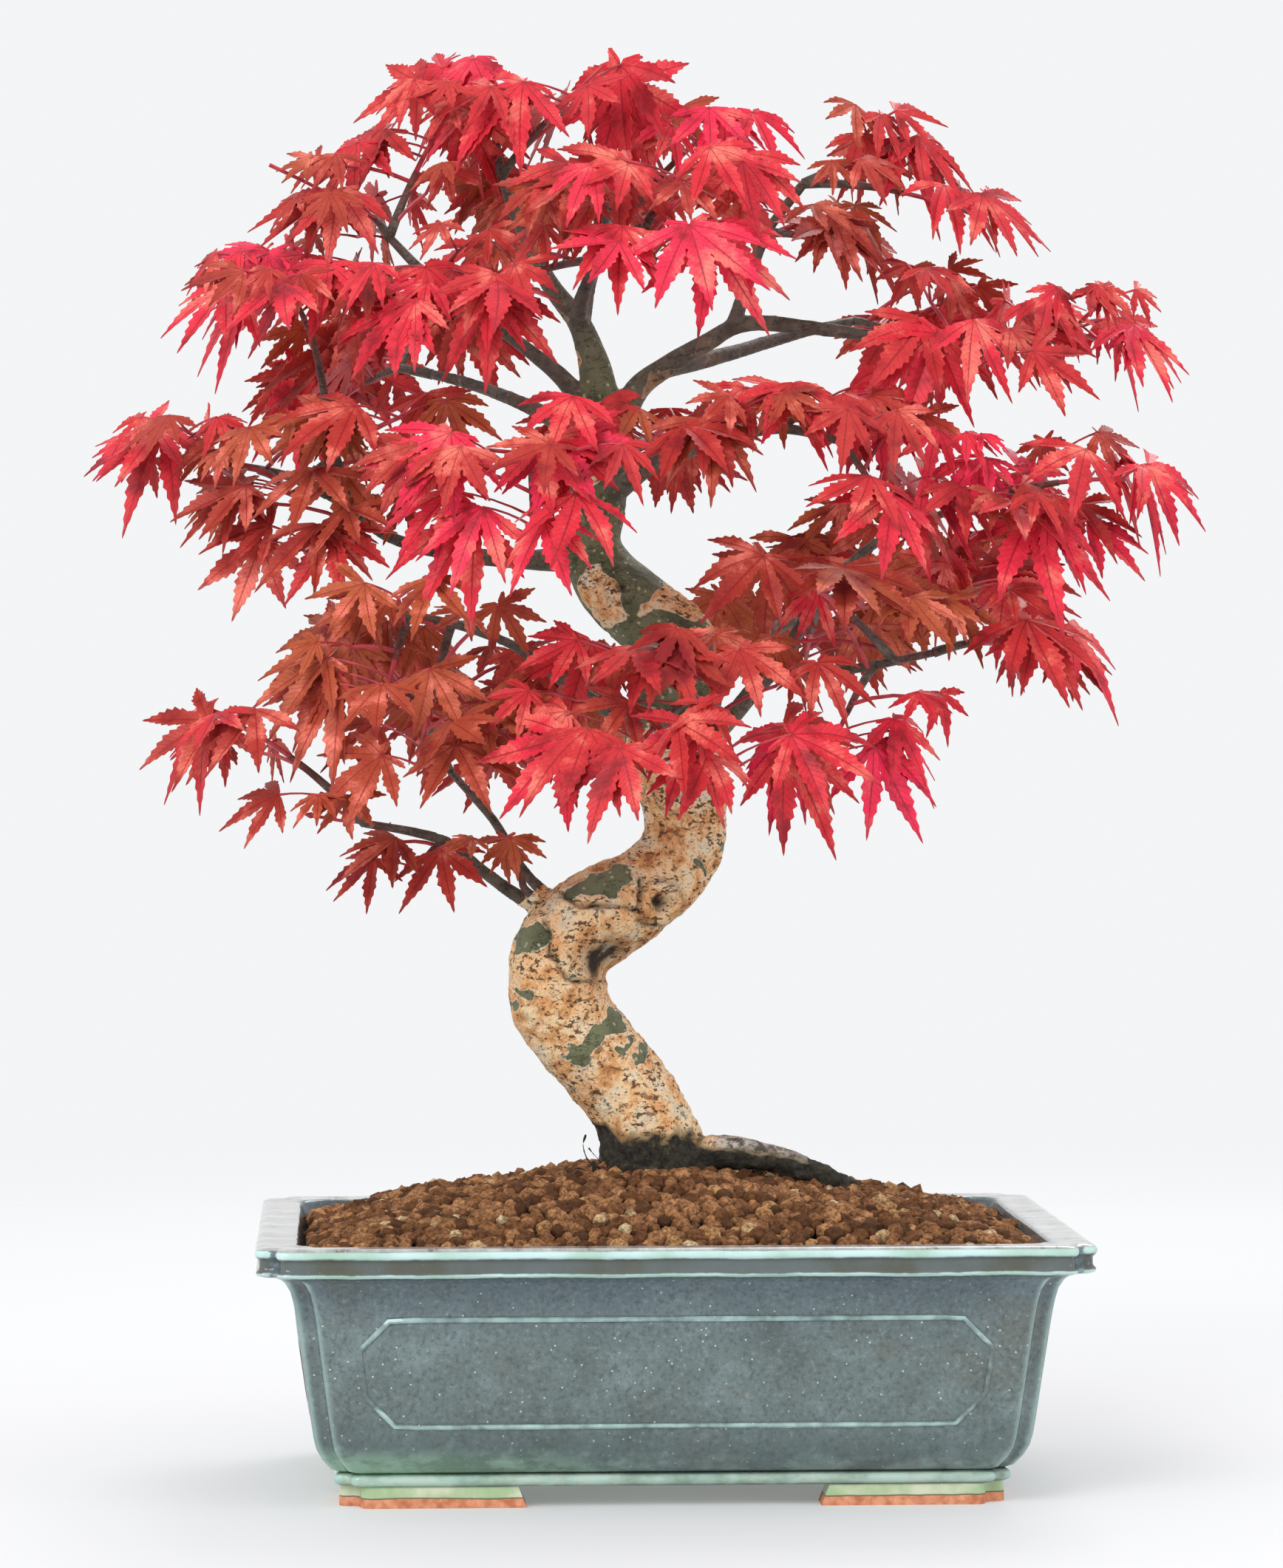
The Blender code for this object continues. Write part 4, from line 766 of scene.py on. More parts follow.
# Leafy shoots: limb, where the leading leaf hangs above the crest, its span in millimetres, how many leaves
# the frame's shoot carries, and its age from 0, just opened, to 1, hardened
SHOOTS = [
    ("trunk", (-61, -8, 357), 42, 4, 0.15), ("trunk", (-45, -32, 347), 52, 4, 0.2),
    ("crown_back", (-14, 6, 349), 46, 4, 0.55), ("crown_back", (15, -18, 341), 34, 4, 0.1),
    ("upper_left", (-89, -10, 334), 46, 4, 0.4), ("crown_back", (-20, 74, 322), 48, 6, 0.5),
    ("upper_left", (-107, -12, 312), 46, 4, 0.45), ("upper_front", (-13, -60, 319), 54, 4, 0.35),
    ("upper_front", (10, -74, 293), 52, 4, 0.15), ("right_rise", (52, -24, 302), 46, 4, 0.7),
    ("left_rise", (-130, -31, 295), 38, 3, 0.05), ("left_rise", (-134, -40, 279), 44, 2, 0.3),
    ("upper_left", (-108, -50, 284), 44, 4, 0.15), ("upper_left", (-84, -66, 272), 46, 4, 0.25),
    ("upper_front", (-56, -72, 280), 44, 4, 0.35), ("left", (-98, -58, 243), 46, 4, 0.75),
    ("left", (-160, -22, 237), 50, 3, 0.3), ("left", (-133, -42, 218), 46, 4, 0.8),
    ("left", (-106, -52, 204), 46, 4, 0.6), ("low_left_back", (-109, -24, 175), 40, 4, 0.95),
    ("front_left", (-39, -88, 230), 52, 4, 0.15), ("front_left", (-62, -84, 206), 54, 4, 0.2),
    ("front_right", (2, -74, 236), 48, 4, 0.6), ("front_right", (36, -62, 248), 46, 4, 0.3),
    ("front_low", (-8, -84, 168), 46, 4, 0.4), ("front_low", (-34, -92, 139), 58, 4, 0.35),
    ("mid_left", (-68, -70, 136), 46, 4, 0.75), ("mid_left", (-104, -60, 155), 48, 4, 0.8),
    ("low_left", (-72, -26, 103), 36, 2, 0.7), ("low_left", (-146, -50, 148), 46, 4, 0.5),
    ("front_low", (34, -84, 136), 54, 4, 0.4), ("right_rise", (78, -8, 332), 44, 4, 0.45),
    ("right_rise", (108, -14, 310), 44, 4, 0.4), ("right", (84, -48, 266), 50, 4, 0.35),
    ("right", (118, -24, 279), 42, 3, 0.2), ("right", (148, -26, 270), 42, 3, 0.1),
    ("front_right", (74, -60, 216), 46, 4, 0.3), ("mid_right", (97, -50, 226), 38, 4, 0.1),
    ("mid_right", (151, -32, 226), 46, 4, 0.25), ("mid_right", (114, -56, 208), 52, 4, 0.25),
    ("mid_right_low", (52, -72, 193), 50, 4, 0.85), ("mid_right_low", (112, -58, 176), 54, 3, 0.35),
    ("mid_right_low", (62, -66, 136), 44, 4, 0.05),
    ("back_low_left", (-104, 78, 170), 48, 6, 0.6), ("back_low_left", (-62, 112, 150), 50, 6, 0.5),
    ("back_low_left", (-26, 92, 138), 48, 6, 0.7), ("back_low_right", (118, 60, 190), 50, 6, 0.4),
    ("back_low_right", (88, 104, 196), 50, 6, 0.6), ("back_low_right", (40, 96, 172), 48, 6, 0.7),
    ("back", (8, 124, 238), 50, 6, 0.5), ("back_left", (-112, 64, 258), 50, 6, 0.4),
    ("back_left", (-62, 96, 284), 50, 6, 0.5), ("back_right", (92, 66, 274), 50, 6, 0.4),
]
TWIG_RADIUS, STEM_RADIUS = 0.0012, 0.0008
WOODY_STEPS, PATH_STEPS = 6, 10
FUSED_RADIUS, WOOD_FINENESS = 0.0015, 0.00095


def planted(across, back, up):
    """A place in the growth plan, in metres in the frame."""
    return pot_middle + Vector((across, back, up)) * 0.001 + Vector((0, 0, CREST))


def grown(points, steps=6):
    """A row of the growth plan as (place, radius) along one smooth run through its points."""
    rows = [Vector(point) for point in points]
    rows = [rows[0] * 2 - rows[1], *rows, rows[-1] * 2 - rows[-2]]
    run = []
    for before, start, end, after in zip(rows, rows[1:], rows[2:], rows[3:]):
        for step in range(steps):
            t = step / steps
            bent = (start * 2 + (end - before) * t + (before * 2 - start * 5 + end * 4 - after) * t * t
                    + (start * 3 - before - end * 3 + after) * t ** 3) / 2
            run.append((planted(*bent[:3]), max(bent[3], 0.6) / 2000))
    return run + [(planted(*rows[-2][:3]), rows[-2][3] / 2000)]


def draw_wood(name, runs, sides):
    """Closed tapering tubes along runs of (place, radius), as one mesh."""
    curve = bpy.data.curves.new(name, "CURVE")
    curve.dimensions, curve.bevel_depth, curve.bevel_resolution = "3D", 1.0, (sides - 4) // 2
    curve.use_fill_caps = True
    for run in runs:
        spline = curve.splines.new("POLY")
        spline.points.add(len(run) - 1)
        for point, (place, radius) in zip(spline.points, run):
            point.co = (*place, 1)
            point.radius = radius
    drawn = bpy.data.objects.new(name, curve)
    bpy.context.scene.collection.objects.link(drawn)
    pick(drawn)
    bpy.ops.object.convert(target="MESH")
    in_edit(drawn)
    bpy.ops.mesh.remove_doubles(threshold=1e-6)
    faces_out()
    return drawn


class Shoot:
    """One row of the plan: where its twig leaves the limb, and where its stem and leaves go."""

    def __init__(self, number, row):
        limb, lead, span, self.leaves, self.age = row
        self.number = number + 1
        self.span = span * 0.001
        self.lead = planted(*lead)
        from_middle = self.lead - pot_middle
        self.outward = Vector((from_middle.x, from_middle.y, 0)).normalized()
        places = [planted(*point[:3]) for point in (TRUNK[14:] if limb == "trunk" else LIMBS[limb])]
        candidates = [start.lerp(end, step / 4)
                      for start, end in zip(places[1:], places[2:]) for step in range(4)]
        self.start = min(candidates + places[-1:],
                         key=lambda at: (at - self.lead).length + 0.6 * max(0, at.z - self.lead.z))
        self.side = (self.lead - self.start).normalized().cross(Vector((0, 0, 1))).normalized()
        self.hand = 1 if number % 2 else -1
        self.end = self.lead - self.stalk(0, 0)

    def stalk(self, node, half):
        """The stalk from a node to its leaf; leaves stand in opposite pairs, each turned from the last."""
        hand = self.hand if half == 0 else -self.hand
        spread, forward = (0.80, 0.45) if node % 2 == 0 else (0.62, 0.75 if half == 0 else -0.1)
        direction = self.side * hand * spread + self.outward * forward + Vector((0, 0, 0.28))
        return direction.normalized() * self.span * (0.34 + 0.05 * node)

    def path(self):
        """Twig and stem on one rising curve from the limb to the last pair of leaves."""
        reach = self.end - self.start
        middle = self.start + reach * 0.5 + Vector((0, 0, 0.10 * reach.length))
        points = []
        for step in range(PATH_STEPS + 1):
            share = step / PATH_STEPS
            points.append(self.start.lerp(middle, share).lerp(middle.lerp(self.end, share), share))
        return points


shoots = [Shoot(number, row) for number, row in enumerate(SHOOTS)]
thick, thin, skeleton = [grown(TRUNK, 10)], [], []
for points in [*ROOTS, *LIMBS.values()]:
    run = grown(points)
    stout = sum(radius > FUSED_RADIUS for _, radius in run)
    thick.append(run[:stout])
    if stout < len(run):
        thin.append(run[max(stout - 3, 0):])
for shoot in shoots:
    woody = shoot.path()[:WOODY_STEPS + 1]
    thin.append([(at, TWIG_RADIUS * (1.35 - 0.09 * step)) for step, at in enumerate(woody)])
thin += [grown(hair) for hair in HAIRS]
for run in thick + thin:
    skeleton += run

wood = draw_wood("maple_wood", thick, 16)
apply_modifier(wood, "REMESH", mode="VOXEL", voxel_size=WOOD_FINENESS)
apply_modifier(wood, "SMOOTH", factor=0.5, iterations=3)


def search_of(runs):
    """A quick search for the nearest (place, radius) of some runs."""
    search = kdtree.KDTree(len(runs))
    for number, (place, _) in enumerate(runs):
        search.insert(place, number)
    search.balance()
    return search


nearest, nearest_trunk = search_of(skeleton), search_of(thick[0])


def radius_at(place):
    """The radius of the wood at a place on its surface; the trunk wins where a limb leaves it."""
    _, number, gap = nearest_trunk.find(place)
    if gap < thick[0][number][1] * 1.22 + 0.0008:
        return thick[0][number][1]
    return skeleton[nearest.find(place)[1]][1]


# Smooth green patches on the front of the trunk: middle across and up, half sizes, and tilt in degrees
PATCHES = [
    (-16, 93.5, 7, 5, 35), (-23, 91.5, 7, 3.4, 25), (-29, 89, 3.4, 2.6, 20), (-43, 75, 4.6, 6, -60),
    (-44.5, 58, 4, 1.5, 18), (-48.5, 53, 1.8, 1.8, 0), (-28, 37.5, 4, 5.2, 60), (-23, 42.5, 7, 3.4, 40),
    (-16, 48, 5.4, 4.8, 40), (-11, 42, 2, 2, 0), (-14, 39.5, 2.2, 1.8, 0), (-6, 38.5, 2.6, 5.4, -45),
    (12, 97.5, 1.3, 4, 35), (21, 104, 2.4, 2, 0), (-30, 64, 1.4, 1, 0),
]
# Knots and scars on the front: across, up, radius, depth of the hollow and height of the ring round it
KNOTS = [
    (-1.7, 86, 3.2, 2.6, 1.4), (-45, 49, 2.0, 0.3, 0.7), (-9, 67.5, 2.4, 0.5, 0.5),
    (3, 121, 2.6, 0.8, 0.7), (7, 146, 2.4, 1.0, 0.8), (-14, 187, 2.2, 0.8, 0.8),
]
# Creases on the front, as runs of (across, up), where bark folds over itself
CREASES = [[(-38, 80), (-37, 71), (-34, 65.5), (-31, 61.5), (-25, 61), (-18, 61)],
           [(-9, 81), (-4, 78.5), (3, 78.5), (9, 83)], [(-9, 84), (-8.5, 88), (-8, 93)],
           [(-33, 88), (-26, 84.8), (-16, 85.6), (-9, 84)]]
# The hollow under the second bend: middle across and up, and half sizes
HOLLOW = (-18.5, 68, 8, 7)
# Swellings on the front: across, up, radius and height
BULGES = [(-43, 34, 5, 1.6), (8, 88, 8, 2.0), (-31, 88, 5, 1.5), (24, 104, 6, 1.0), (-50, 56, 8, 0.8)]


def held(value):
    """A value held between 0 and 1."""
    return min(max(value, 0), 1)


def mound_share(across, up, middle_across, middle_up, wide, high, tilt=0.0):
    """1 at the middle of an oval, falling to 0 outside it."""
    turn = math.radians(tilt)
    x, z = across - middle_across, up - middle_up
    along, over = x * math.cos(turn) + z * math.sin(turn), z * math.cos(turn) - x * math.sin(turn)
    return math.exp(-((along / wide) ** 2 + (over / high) ** 2))


def crease_share(across, up, run, width):
    """1 on a crease and 0 away from it."""
    nearest_gap = 1e9
    for (x0, z0), (x1, z1) in zip(run, run[1:]):
        length = (x1 - x0) ** 2 + (z1 - z0) ** 2
        share = held(((across - x0) * (x1 - x0) + (up - z0) * (z1 - z0)) / length)
        gap = math.hypot(across - x0 - share * (x1 - x0), up - z0 - share * (z1 - z0))
        nearest_gap = min(nearest_gap, gap)
    return math.exp(-(nearest_gap / width) ** 2)


def carve_bark(piece):
    """Lays bark relief into the wood and marks its girth, green patches, painted shade in knot holes and
    creases, and mossy foot.
    """
    surface = bmesh.new()
    surface.from_mesh(piece.data)
    surface.normal_update()
    names = ("girth", "green", "hollow_shade", "moss", "weathered")
    marks = [surface.verts.layers.float.new(name) for name in names]
    moves = []
    for vert in surface.verts:
        radius = radius_at(vert.co)
        girth = min(radius / 0.014, 1.0)
        at = vert.co - pot_middle
        across, up = at.x * 1000, (at.z - CREST) * 1000
        front = max(0.0, -vert.normal.y) * (radius > 0.006)
        wander = Vector((noise.noise(at * 190), 0, noise.noise(at * 190 + Vector((7, 7, 7))))) * 2.4
        green = max(mound_share(across + wander.x, up + wander.z, *patch) for patch in PATCHES)
        green *= min(front * 3, 1)
        elsewhere = noise.noise(at * 42 + Vector((3, 1, 9))) + 0.5 * noise.noise(at * 120)
        high_up = held((up - 125) / 30)
        green = max(green, (elsewhere - 0.22 + 0.62 * high_up) * 2.2 * (1 - (front > 0.2) * (1 - high_up)))
        # Painted shade: darkest in the knot holes, the creases and the hollow under the second bend
        hollow_shade = 0.0
        lift = noise.noise(at * 55) * 1.3 * girth + noise.noise(at * 150) * 0.6 * girth
        flakes = noise.fractal(at * 420, 0.9, 2.1, 4)
        lift += (0.42 * flakes if green < 0.5 else 0.05 * flakes) * min(girth * 1.6, 1)
        if front:
            for x, z, size, deep, ring in KNOTS:
                gap = math.hypot(across - x, up - z) / size + 0.25 * noise.noise(at * 350)
                rings = math.exp(-((gap - 1.5) / 0.6) ** 2) * (1 + 0.35 * math.sin(gap * 7))
                lift += (1.5 * ring * rings - 1.3 * deep * math.exp(-(gap / 0.8) ** 2)) * front
                shade = max(math.exp(-(gap / 0.75) ** 4), 0.4 * math.exp(-((gap - 2.3) / 0.25) ** 2))
                hollow_shade = max(hollow_shade, min(deep, 1.0) * shade)
            for run in CREASES:
                share = crease_share(across + wander.x * 0.5, up + wander.z * 0.5, run, 0.85) * front
                lift += 1.1 * crease_share(across, up, run, 3.0) * front - 2.4 * share
                hollow_shade = max(hollow_shade, share * (0.85 + 0.6 * noise.noise(at * 300)))
            hollow = mound_share(across, up, *HOLLOW) * min(front * 2.5, 1)
            lift -= 3.4 * hollow
            drawn_down = noise.noise(Vector((at.x * 260, at.y * 260, at.z * 90)))
            hollow_shade = max(hollow_shade, 1.3 * hollow * (0.85 + 0.9 * drawn_down))
            for x, z, size, high in BULGES:
                lift += high * mound_share(across, up, x, z, size, size) * front
        rough = 3.5 * noise.noise(at * 130) + 2.5 * noise.noise(at * 340)
        moss = held((14 + rough - 0.10 * (across + 3) - up) / 9)
        root_top = held((across - 12) / 5) * held((vert.normal.z - 0.15) / 0.4) * (across < 46)
        moss *= 1 - 0.9 * root_top
        tufts = 1.5 * noise.noise(at * 140) + 0.9 * noise.noise(at * 300) + 0.4 * noise.noise(at * 600)
        lift += moss * tufts
        moves.append(vert.normal * lift * 0.001)
        weathered = held((across - 12) / 8) * held((16 - up) / 5)
        for mark, value in zip(marks, (radius * 1000, green, min(hollow_shade, 1), moss, weathered)):
            vert[mark] = value
    for vert, move in zip(surface.verts, moves):
        vert.co += move
    surface.to_mesh(piece.data)
    surface.free()


carve_bark(wood)
twigs = draw_wood("twigs", thin, 8)
carve_bark(twigs)
pick(wood, twigs)
bpy.ops.object.join()
bpy.ops.object.shade_smooth()

bark, tree, shader, place = new_finish("maple_bark", 0.8)
girth, green = painted(tree, "girth"), painted(tree, "green")
plates = grain(tree, place, 120, 8, 0.68)
cork = ramp(tree, plates, [(0.33, (0.42, 0.16, 0.055)), (0.43, (0.84, 0.44, 0.18)),
                           (0.52, (0.98, 0.70, 0.40)), (0.64, (1.0, 0.92, 0.70))])
warm = ramp(tree, grain(tree, place, 42, 4), [(0.48, 0.0), (0.66, 0.5)])
cork = tinted(tree, warm, cork, (0.86, 0.42, 0.17))
cracks = ramp(tree, grain(tree, place, 250, 5, 0.65, (0.8, 0.8, 1.3), 0.6), [(0.60, 0.0), (0.65, 0.7)])
cork = tinted(tree, cracks, cork, (0.22, 0.090, 0.035))
crowding = swing(tree, grain(tree, place, 75, 3), 0.28)
flecks = plus(tree, grain(tree, place, 520, 4, 0.65, (0.8, 0.8, 1.3)), crowding)
flecks = ramp(tree, flecks, [(0.575, 0.0), (0.63, 0.95)])
cork = tinted(tree, flecks, cork, (0.105, 0.046, 0.020))
freckles = ramp(tree, grain(tree, place, 950, 3, 0.6), [(0.55, 0.0), (0.63, 0.6)])
cork = tinted(tree, freckles, cork, (0.30, 0.13, 0.05))
weathered = ramp(tree, grain(tree, place, 230, 5, 0.65), [
    (0.40, (0.10, 0.085, 0.065)), (0.56, (0.62, 0.58, 0.52))])
cork = tinted(tree, painted(tree, "weathered"), cork, weathered)
skin = ramp(tree, grain(tree, place, 90, 6), [(0.35, (0.095, 0.110, 0.048)), (0.65, (0.190, 0.205, 0.105))])
dots = ramp(tree, cells(tree, place, 330), [(0.15, 0.75), (0.23, 0.0)])
skin = tinted(tree, dots, skin, (0.62, 0.58, 0.42))
ragged = plus(tree, green, swing(tree, grain(tree, place, 260, 5, 0.6), 0.55))
rim = ramp(tree, ragged, [(0.34, 0.0), (0.42, 0.75), (0.48, 0.0)])
cork = tinted(tree, rim, cork, (0.86, 0.78, 0.60))
wooden = tinted(tree, ramp(tree, ragged, [(0.44, 0.0), (0.48, 1.0)]), cork, skin)
limb_brown = ramp(tree, grain(tree, place, 160, 6, 0.6), [
    (0.3, (0.060, 0.045, 0.034)), (0.55, (0.135, 0.105, 0.085)), (0.75, (0.30, 0.26, 0.22))])
girth = sums(tree, "DIVIDE", girth, 10)
wooden = tinted(tree, ramp(tree, girth, [(0.22, 1.0), (0.62, 0.0)]), wooden, limb_brown)
twig_red = ramp(tree, grain(tree, place, 300), [(0.35, (0.11, 0.030, 0.026)), (0.65, (0.24, 0.060, 0.050))])
wooden = tinted(tree, ramp(tree, girth, [(0.10, 1.0), (0.15, 0.0)]), wooden, twig_red)
# Painted shade in the knot holes, creases and the hollow under the second bend
wooden = tinted(tree, painted(tree, "hollow_shade"), wooden, (0.035, 0.020, 0.012))
moss_edge = plus(tree, painted(tree, "moss"), swing(tree, plates, 0.9))
wooden = tinted(tree, ramp(tree, moss_edge, [(0.0, 0.0), (0.34, 0.75)]), wooden, (0.17, 0.125, 0.050))
moss_brown = ramp(tree, grain(tree, place, 420, 5, 0.7), [
    (0.38, (0.006, 0.005, 0.004)), (0.55, (0.035, 0.030, 0.018)), (0.75, (0.115, 0.100, 0.055))])
wooden = tinted(tree, ramp(tree, moss_edge, [(0.32, 0.0), (0.58, 1.0)]), wooden, moss_brown)
feed(tree, wooden, shader, "Base Color")
feed(tree, ramp(tree, ragged, [(0.42, 0.88), (0.5, 0.55)]), shader, "Roughness")
pitted = times(tree, plus(tree, flecks, cracks), -0.7)
relief(tree, shader, plus(tree, grain(tree, place, 420, 6, 0.7), pitted), 1.0, 0.0012)
wood.data.materials.clear()
wood.data.materials.append(bark)
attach(wood, "root")
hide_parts("tree")

# ---------------------------------------------------------------------------------------------------------
# The leafy shoots: each a thin red stem with stalked leaves in opposite pairs. A leaf is a hanging hand of
# five to seven toothed lobes, each folded along its midrib; the young are bright red and the old rusty.
# ---------------------------------------------------------------------------------------------------------
LOBES = [(-126, 0.19), (-83, 0.46), (-41, 0.58), (0, 0.63), (41, 0.58), (83, 0.46), (126, 0.19)]
SINUS, HEEL = 0.15, 0.045
LOBE_WIDTH = 0.148
BLADE_THICKNESS = 0.00026
TEETH = 8
STALK_RADIUS, STALK_SHARES = 0.00042, (1.3, 1, 0.85, 0.9, 1.17)
BARE_RADII = [0.0007, 0.0006, 0.0006, 0.0007]
FULLEST = 0.40
EXTRA_LEAVES, SPRIGS = 1, 2
# Stalks that lost their leaf, and stems that end in a bud: the shoot they stand on, and their places
BARE_STALKS = {2: (-20, -20, 353), 7: (-126, -20, 321)}
BUDDED = {30: [[(-93, -35, 112), (-104, -36, 113), (-115, -36, 115)],
               [(-99, -36, 113), (-106, -36, 117), (-110, -36, 122)]]}
chance = random.Random(23)


def lobe_width(share, reach):
    """Half the width of a lobe at a share of its length, before its teeth are cut."""
    if share < FULLEST:
        return reach * (0.080 + (LOBE_WIDTH - 0.080) * math.sin(share / FULLEST * math.pi / 2))
    return reach * LOBE_WIDTH * (1 - ((share - FULLEST) / (1 - FULLEST)) ** 1.2) ** 1.2


def add_leaf(surface, frame_of_leaf, span, age, droop, fold, cup):
    """One blade: lobes that share their sinuses and the joint, each a folded strip of toothed halves."""
    marks = {name: surface.verts.layers.float.get(name) for name in ("along", "across", "age")}
    down = frame_of_leaf.to_3x3().inverted() @ Vector((0, 0, -1))

    def point(place, along, across):
        vert = surface.verts.new(frame_of_leaf @ place)
        vert[marks["along"]], vert[marks["across"]], vert[marks["age"]] = along, across, age
        return vert

    def ray(turn):
        """The way a lobe leaves the joint; the blade is a shallow umbrella, deeper when young."""
        flat = Vector((math.cos(math.radians(turn)), math.sin(math.radians(turn)), 0)) * math.cos(cup)
        return flat - Vector((0, 0, math.sin(cup)))

    lobes = [(turn + chance.uniform(-6, 6), length * chance.uniform(0.86, 1.06)) for turn, length in LOBES]
    if chance.random() < 0.6:
        lobes = lobes[1:-1]
    joint = point(Vector(), 0, 0)
    turns = [lobes[0][0] - 30] + [(a[0] + b[0]) / 2 for a, b in zip(lobes, lobes[1:])] + [lobes[-1][0] + 30]
    sinuses = []
    for number, turn in enumerate(turns):
        far = HEEL if number in (0, len(turns) - 1) else SINUS * (1 - 0.35 * abs(turn) / 120)
        pulled = ray(turn) * far * span + Vector((0, 0, math.sin(fold) * far * span * 0.28))
        sinuses.append(point(pulled, 0.15, 1))
    for (turn, length), right_sinus, left_sinus in zip(lobes, sinuses, sinuses[1:]):
        out = ray(turn)
        over = Vector((-math.sin(math.radians(turn)), math.cos(math.radians(turn)), 0))
        reach = length * span
        sway = chance.uniform(-0.15, 0.15)
        bend = droop * chance.uniform(0.6, 1.5)
        open_fold = fold * chance.uniform(0.7, 1.3)
        first = SINUS * 0.8 * span
        steps = 2 * max(3, round(TEETH * (reach / 0.028) ** 0.7))
        right, middle, left = right_sinus, None, left_sinus
        for step in range(steps):
            share = step / steps
            run = first + (reach - first) * share
            lean = run / reach
            axis = out * run + down * bend * run * lean * 0.6 + over * sway * run * lean
            heading = (out + down * bend * lean * 1.2 + over * sway * 2 * lean).normalized()
            aside = (over - heading * over.dot(heading)).normalized()
            up = heading.cross(aside)
            here = point(axis, 0.15 + 0.85 * share, 0)
            if step:
                width = lobe_width(share, reach) * (1.10 if step % 2 else 0.84)
                forward = heading * (0.45 if step % 2 else 0.0) * (reach - first) / steps
                lift = up * width * math.sin(open_fold)
                side = aside * width * math.cos(open_fold)
                new_left = point(axis + side + lift + forward, 0.15 + 0.85 * share, 1)
                new_right = point(axis - side + lift + forward, 0.15 + 0.85 * share, 1)
                surface.faces.new((middle, here, new_left, left))
                surface.faces.new((right, new_right, here, middle))
                left, right = new_left, new_right
            else:
                surface.faces.new((joint, here, left))
                surface.faces.new((joint, right, here))
            middle = here
        end = point(out * reach + down * bend * reach * 0.6 + over * sway * reach, 1, 0)
        surface.faces.new((middle, end, left))
        surface.faces.new((right, end, middle))


def leaf_frame(joint, stalk, outward, turn, tilt):
    """Where a blade hangs: its midrib falls outwards from its stalk, its face up and away from the tree."""
    flat = Vector((stalk.x, stalk.y, 0)).normalized() * 0.60 + outward * 0.40
    away = Vector((0, -0.62 if joint.y < pot_middle.y + 0.035 else 0.62, 0))
    wobble = Vector((chance.uniform(-0.3, 0.3), chance.uniform(-0.2, 0.2), chance.uniform(-0.2, 0.2)))
    facing = (outward * 0.45 + away + Vector((0, 0, 0.85)) + wobble).normalized()
    midrib = (flat - Vector((0, 0, 0.62 + tilt))).normalized()
    midrib.rotate(Matrix.Rotation(math.radians(turn), 3, facing))
    normal = (facing - midrib * facing.dot(midrib)).normalized()
    return Matrix.Translation(joint) @ Matrix((midrib, normal.cross(midrib), normal)).transposed().to_4x4()


def bowed(start, end, rise, radii):
    """A short run from start to end, bowed upwards and thinning."""
    middle = (start + end) / 2 + Vector((0, 0, rise * (end - start).length))
    run = []
    for step, radius in enumerate(radii):
        share = step / (len(radii) - 1)
        run.append((start.lerp(middle, share).lerp(middle.lerp(end, share), share), radius))
    return run


def leaf_spots(shoot, path, runs):
    """Where a shoot's leaves stand, as (root, stalk, size, how much older); adds its side sprigs to runs."""
    spots = []
    fuller = shoot.lead.y > pot_middle.y + 0.04
    for leaf in range(shoot.leaves + EXTRA_LEAVES + 2 * fuller):
        node, half = divmod(leaf, 2)
        back = node if node < 2 else node * 1.6 - 1.2
        whole, part = divmod(min(back + 0.25, PATH_STEPS - 3), 1)
        root = path[-1 - int(whole)].lerp(path[-2 - int(whole)], part)
        stalk, size = shoot.stalk(min(node, 2), half), 1.0
        if leaf:
            stalk.rotate(Matrix.Rotation(chance.uniform(-0.5, 0.5), 3, "Z"))
            stalk *= chance.uniform(0.8, 1.15)
            size = chance.uniform(0.70, 1.0)
        spots.append((root, stalk, size, 0.06 * node))
    for sprig in range(SPRIGS + fuller):
        root = path[1 + sprig * 3 + chance.randrange(2)]
        sideways = shoot.side * chance.uniform(0.6, 1.1) * (1 if (sprig + shoot.number) % 2 else -1)
        heading = (shoot.outward * 0.5 + sideways + Vector((0, 0, chance.uniform(0.0, 0.6)))).normalized()
        end = root + heading * shoot.span * chance.uniform(0.30, 0.60)
        runs.append(bowed(root, end, 0.12, [STEM_RADIUS * (1 - 0.08 * step) for step in range(4)]))
        for turn in (-55, 55) if (shoot.number + sprig) % 3 else (-58, 6, 62):
            stalk = heading * shoot.span * chance.uniform(0.20, 0.32)
            stalk.rotate(Matrix.Rotation(math.radians(turn + chance.uniform(-18, 18)), 3, "Z"))
            spots.append((end, stalk, chance.uniform(0.45, 0.74), chance.uniform(0.12, 0.45)))
    return spots


